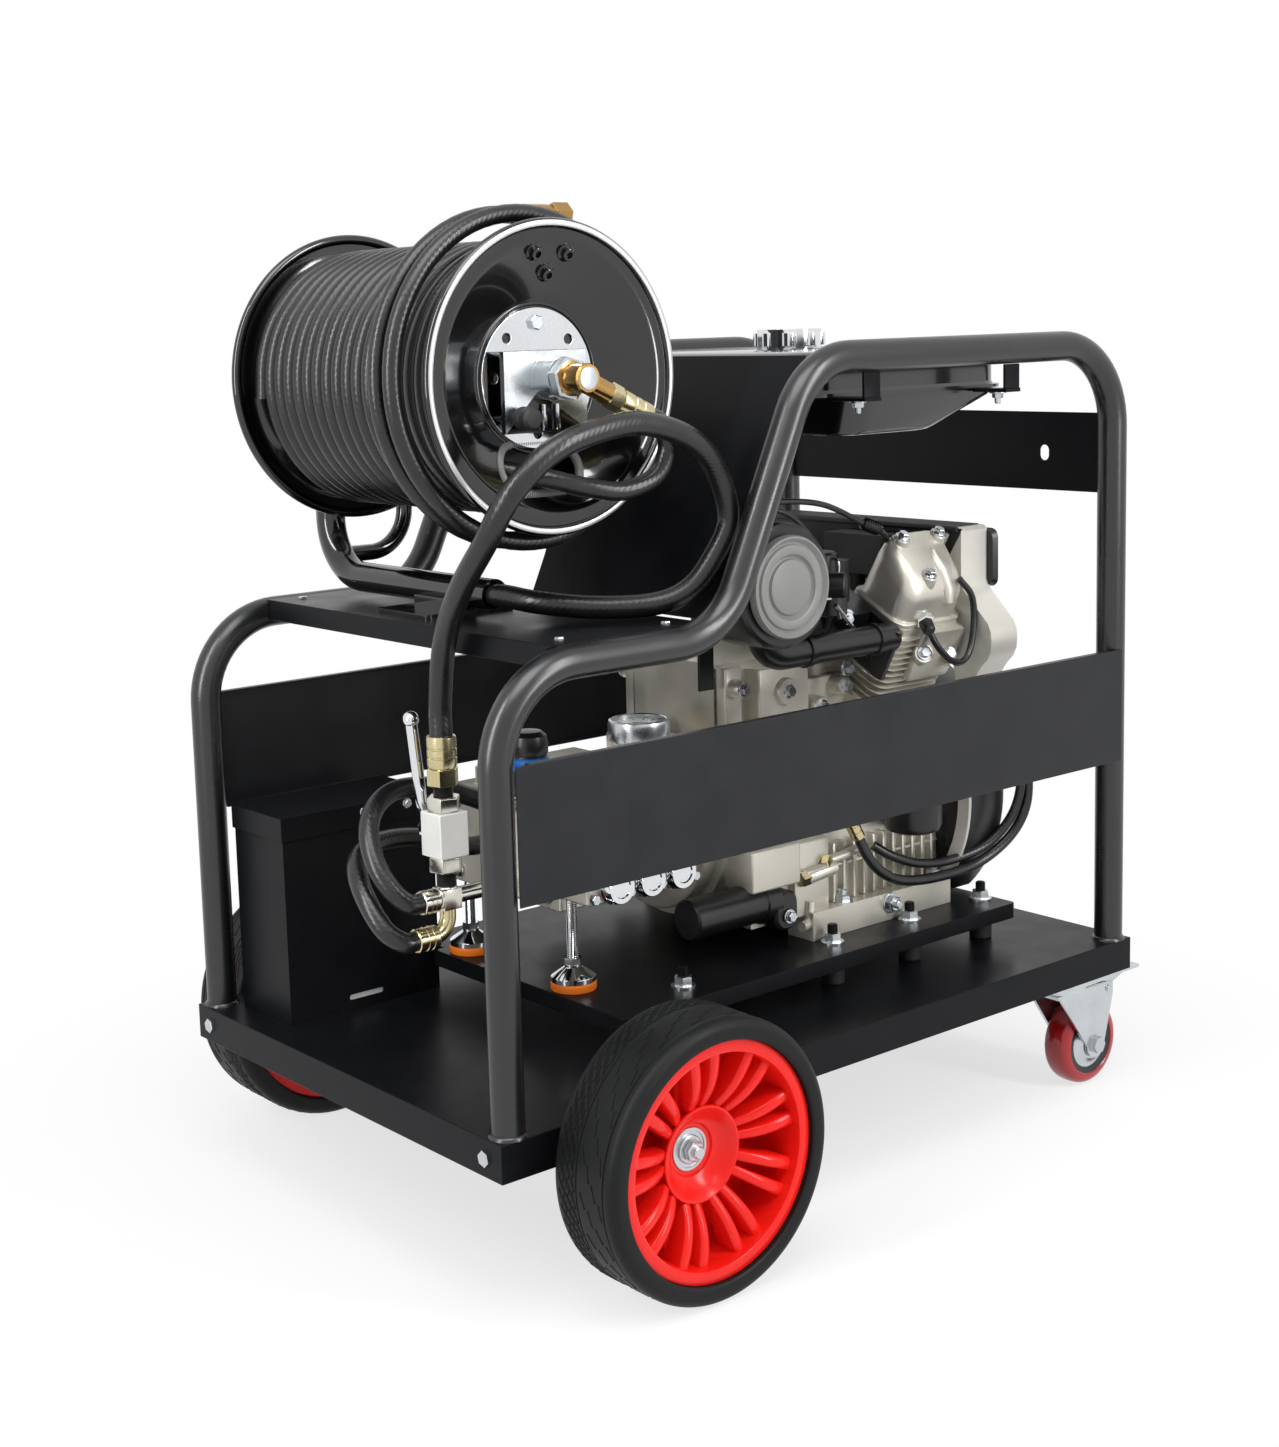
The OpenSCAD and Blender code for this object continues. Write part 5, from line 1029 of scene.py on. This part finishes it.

# Reel: a drum between two spun steel flanges with black rolled rims, with a painted highlight along the
# crest. It turns on a fixed hollow shaft. A slot in the left flange lets the jumper hose through to the drum.
reel_middle = Vector((-310, 0, 849))
dressed("reel_drum", gloss_enamel, 0.8)
dressed("hose_core", mount_rubber, 0.5)
# Painted highlight: a pale metal that stands for the light the black gloss rim reflects along its crest
rim_painted_highlight = surface("steel_rim_painted_highlight", "#c4c6c7", "#d6d8d9", 0.34, 0.06, 1.5, 0.01, Metallic=0.7)


def cut_out(form, cutter):
    """The form less the cutter, both in mm."""
    both = []
    for part in (form, cutter):
        bmesh.ops.recalc_face_normals(part, faces=part.faces)
        both.append(bpy.data.objects.new("cut", bpy.data.meshes.new("cut")))
        part.to_mesh(both[-1].data)
        part.free()
        link(both[-1])
    cut = both[0].modifiers.new("cut", "BOOLEAN")
    cut.object, cut.solver = both[1], "EXACT"
    left = bmesh.new()
    left.from_mesh(both[0].evaluated_get(bpy.context.evaluated_depsgraph_get()).to_mesh())
    for part in both:
        bpy.data.objects.remove(part)
    return left


slot_x, slot_z, slot_half, slot_r = -8, -84, 25, 23
dish_r, dish_y, cone_run, cone_rise = 70, 142, 58, 28
rim_r, rim_y, curl_r = 143, 169, 5
outer_face = [(19, 142), (66, 142), (69, 142.4), (72, 143.6), (75, 145.2), (122, 167.6), (125, 168.9),
              (128, 169.7), (131, 170), (138, 170)]
curl = [radians(a) for a in range(150, -165, -15)]
rolled_rim = [(rim_r + curl_r * cos(a), rim_y + curl_r * sin(a)) for a in curl]
for side, away in (("left", to_left), ("right", -to_left)):
    form = bmesh.new()
    lathe(form, outer_face + rolled_rim + [(r, h - 2) for r, h in reversed(outer_face)], reel_middle, away,
          144, "ring")
    # Painted highlight: faces near the crest of the rolled rim take the pale metal, the rest stays black
    # enamel
    for face in form.faces:
        spot = face.calc_center_median() - reel_middle
        rim_turn = degrees(atan2(spot.dot(away) - rim_y, hypot(spot.x, spot.z) - rim_r))
        face.material_index = 1 if hypot(spot.x, spot.z) > 138.2 and 62 < rim_turn < 118 else 0
    if side == "left":
        slot = bmesh.new()
        outline = ring_of(2 * (slot_half + slot_r), 2 * slot_r, slot_r - 0.1, 0, 12, (slot_x, slot_z))
        loft(slot, [[reel_middle + Vector((x, y, z)) for x, z, _ in outline] for y in (-190, -130)])
        form = cut_out(form, slot)
    piece(side + "_reel_flange", form, [gloss_enamel, rim_painted_highlight], ["reel_flanges"], 40,
          body="reel")


def on_flange(x, z, lift=0):
    """Point of the left flange's outer face, from the reel's middle."""
    cone = min(max(hypot(x, z) - dish_r, 0), cone_run) / cone_run
    return reel_middle + Vector((x, -(dish_y + cone_rise * cone + lift), z))


form = bmesh.new()
bead = [radians(30 * i) for i in range(12)]
lathe(form, [(dish_r + 2.4 * cos(a), dish_y + 2.4 * sin(a)) for a in bead], reel_middle, to_left, 96, "ring")
piece("flange_hub_bead", form, gloss_enamel, body="reel")
socket_screw = bmesh.new()
lathe(socket_screw, [(9, 0), (9, 1.4), (6.4, 2), (6.2, 7), (5.4, 7.8), (3.4, 7.8), (3.2, 4)], segments=24)
places = []
for x, z in ((-16.6, 117), (21.5, 116), (3.6, 98)):
    out = Vector((-cone_rise * x / hypot(x, z), -cone_run, -cone_rise * z / hypot(x, z)))
    places.append((on_flange(x, z), out))
repeated("flange_socket_screws", socket_screw, places, gloss_enamel, sharp=25, body="reel")
# Slot trim: a coiled strip of plastic pressed on the edge, so the jumper hose doesn't chafe
edge = []
for i in range(120):
    a = 2 * pi * i / 120
    edge.append(on_flange(slot_x + slot_half * copysign(1, cos(a)) + slot_r * cos(a),
                          slot_z + slot_r * sin(a), -1))
form = bmesh.new()
tube(form, edge + edge[:1], 3.2, 10, False)
piece("slot_trim_strip", form, abs_black, body="reel")
coil_pitch = 2.6
coil = bmesh.new()
lathe(coil, [(3, -0.8), (4.4, -0.5), (4.4, 0.5), (3, 0.8)], segments=10, ends="open")
places = []
for a, b in zip(edge, edge[1:] + edge[:1]):
    count = max(1, round((b - a).length / coil_pitch))
    places += [(a + (b - a) * k / count, b - a) for k in range(count)]
repeated("slot_trim_coils", coil, places, abs_grey, sharp=50, body="reel")

# Hub: a plated disc on the flange, the fixed shaft with the lock's bracket and its spring lock, and a brass
# swivel elbow that feeds the jumper hose. Only the disc and the elbow turn with the reel.
dressed("hub_plate", chrome_plate, 0.5)
screws("hub_plate_screw", hex_screw(7.5, 5, 0), [(reel_middle + Vector((-2, -145, 52)), to_left)],
       body="reel")
shaft = dressed("reel_shaft", zinc_plate, 0.8)
shaft.data.materials.append(gloss_enamel)
for face in shaft.data.polygons:
    spot = face.center * 1000 - reel_middle
    face.material_index = 1 if -161.5 < spot.y < -154.5 and hypot(spot.x, spot.z) > 20.2 else 0
form = bmesh.new()
for x in (-8, 8):
    tube(form, [reel_middle + Vector((x, -163.5, -24)), reel_middle + Vector((x, -163.5, -48))], 2.6, 10)
piece("lock_bracket_pins", form, chrome_plate)
form = bmesh.new()
lock = reel_middle + Vector((-38, 0, -35.5))
lathe(form, [(3, 146.5), (4, 148), (4, 167)], lock, to_left, 20)
piece("lock_plunger", form, chrome_plate, ["reel_lock_knob"], 25, body="reel_lock")
form = bmesh.new()
boot = [(8, 166.2), (10.4, 167.4), (11, 170), (10.2, 172), (11, 174), (10.2, 176), (11, 178), (10.8, 184),
        (8.6, 187.2), (0, 188)]
lathe(form, boot, lock, to_left, 32)
piece("lock_grip", form, mount_rubber, ["reel_lock_knob"], 30, body="reel_lock")
# Brass: the elbow's own metal, turned and lightly lacquered
brass = surface("brass_turned", "#a27c45", "#b8965f", 0.22, 0.06, 1.2, 0.006, Metallic=1)
slope = radians(-26)
arm = Vector((cos(slope), 0, sin(slope)))
elbow = reel_middle + 209 * to_left
form = bmesh.new()
lathe(form, [(13, 186), (14, 187), (14, 219), (12.8, 221), (10.5, 221), (10, 220.2)], reel_middle, to_left,
      40)
lathe(form, [(11, 0), (11, 35)], elbow, arm, 32)
lathe(form, [(14, 187), (16.6, 187.4), (16.6, 197), (14, 197.6)], reel_middle, to_left, 40, "open")
piece("swivel_elbow", form, brass, ["reel_fittings"], 30, body="reel")
form = bmesh.new()
hex_nut(form, reel_middle + 185.3 * to_left, to_left, 21, 11.5)
lathe(form, [(10.4, 220.4), (10.4, 221.4), (9, 221.8), (0, 221.8)], reel_middle, to_left, 32, "open")
piece("swivel_ring", form, zinc_plate, sharp=25, body="reel")
form = bmesh.new()
hex_nut(form, elbow + 34 * arm, arm, 12.4, 16)
ferrule(form, elbow + 88 * arm, -arm, 12, 38)
piece("elbow_ferrule", form, yellow_zinc, sharp=25, body="reel")

# Jetting hose: one length of 17 mm hose, wound in a close layer on the inner layers, then climbing
# to two slack outer loops by the left flange. It ends in its outlet fitting on top of the reel.
hose_d, wind_r, wind_pitch, slack_pitch, first_y = 17, 122.5, 17.6, 24, 149.6
main_turn, climb_turn, loose_turn = 6120, 180, 630
wind_turn = main_turn + climb_turn + loose_turn
wound_line = []
for a in range(0, wind_turn + 1, 5):
    angle = radians(90 + wind_turn - a)
    climb = min(max((a - main_turn) / climb_turn, 0), 1)
    slack_r = 142 + 22 * (1 - cos(angle)) / 2
    r = wind_r + (slack_r - wind_r) * climb * climb * (3 - 2 * climb)
    slack = max(a - main_turn - climb_turn, 0)
    y = first_y - wind_pitch * min(a, main_turn + climb_turn / 2) / 360 + slack_pitch * slack / 360
    wound_line.append(reel_middle + Vector((r * cos(angle), y, r * sin(angle))))
wound_line.insert(0, wound_line[0] + hose_d * (wound_line[0] - wound_line[1]).normalized())
wound_line.append(wound_line[-1] + Vector((hose_d, 0, 0)))
outlet_at = wound_line[-1]
form = bmesh.new()
lathe(form, [(8.6, -3), (10.5, -2), (10.5, 24), (9.5, 28), (9.5, 30), (6.6, 30), (6.6, -3)], outlet_at, back,
      32, "ring")
hex_nut(form, outlet_at + Vector((30, 0, 0)), back, 12.6, 20)
outlet_fitting = piece("hose_outlet_fitting", form, brass, ["reel_fittings"], body="reel")
form = bmesh.new()
tube(form, wound_line, hose_d / 2, 14)
jetting_hose = piece("jetting_hose_winding", form, hose_rubber, ["wound_hose"], body="reel")

# Fuel tank: two pressed steel halves seamed together, with a screw-in filler cap of polished plate.
# Gloss black enamel, with the seam hung from four tabs under the frame's top tubes.
tank_enamel = surface("steel_tank_enamel_black", "#0b0b0c", "#101011", 0.2, 0.04, 5, 0.01,
                      Specular_IOR_Level=0.6, Coat_Weight=0.5, Coat_Roughness=0.06)
form = bmesh.new()
tank_x = 132
bowl_rings = [(134, 390, 24, 775, (-17, 0)), (146, 404, 30, 776.6, (-15, 0)), (156, 412, 34, 780, (-11, 0)),
              (234, 424, 36, 809, (29, 0)), (244, 426, 36, 814, (33, 0)), (246, 426, 36, 817, (33, 0))]
loft(form, [[(x + tank_x, y, z) for x, y, z in ring_of(*r[:4], 8, r[4])] for r in bowl_rings])
tank_rings = [(310, 430, 38, 817), (320, 440, 40, 817.2), (320, 440, 40, 820.8), (310, 430, 38, 821),
              (306, 426, 36, 824), (306, 426, 36, 842), (304, 424, 36, 849), (296, 416, 34, 856),
              (284, 404, 30, 861), (266, 386, 26, 863)]
loft(form, [[(x + tank_x, y, z) for x, y, z in ring_of(*r, 8)] for r in tank_rings])
lathe(form, [(34, 862), (34, 863.1), (31, 864), (31, 872)], (131, -35, 0), up, 48)
piece("fuel_tank_shell", form, tank_enamel, ["fuel_tank"], 30)
dressed("fuel_cap", chrome_plate, 1.5)
places = [((x, s * 240, 813.4), (0, 0, -1)) for x in (24, 240) for s in (-1, 1)]
screws("tank_tab_screws", hex_screw(6, 5, 9, 6), places)
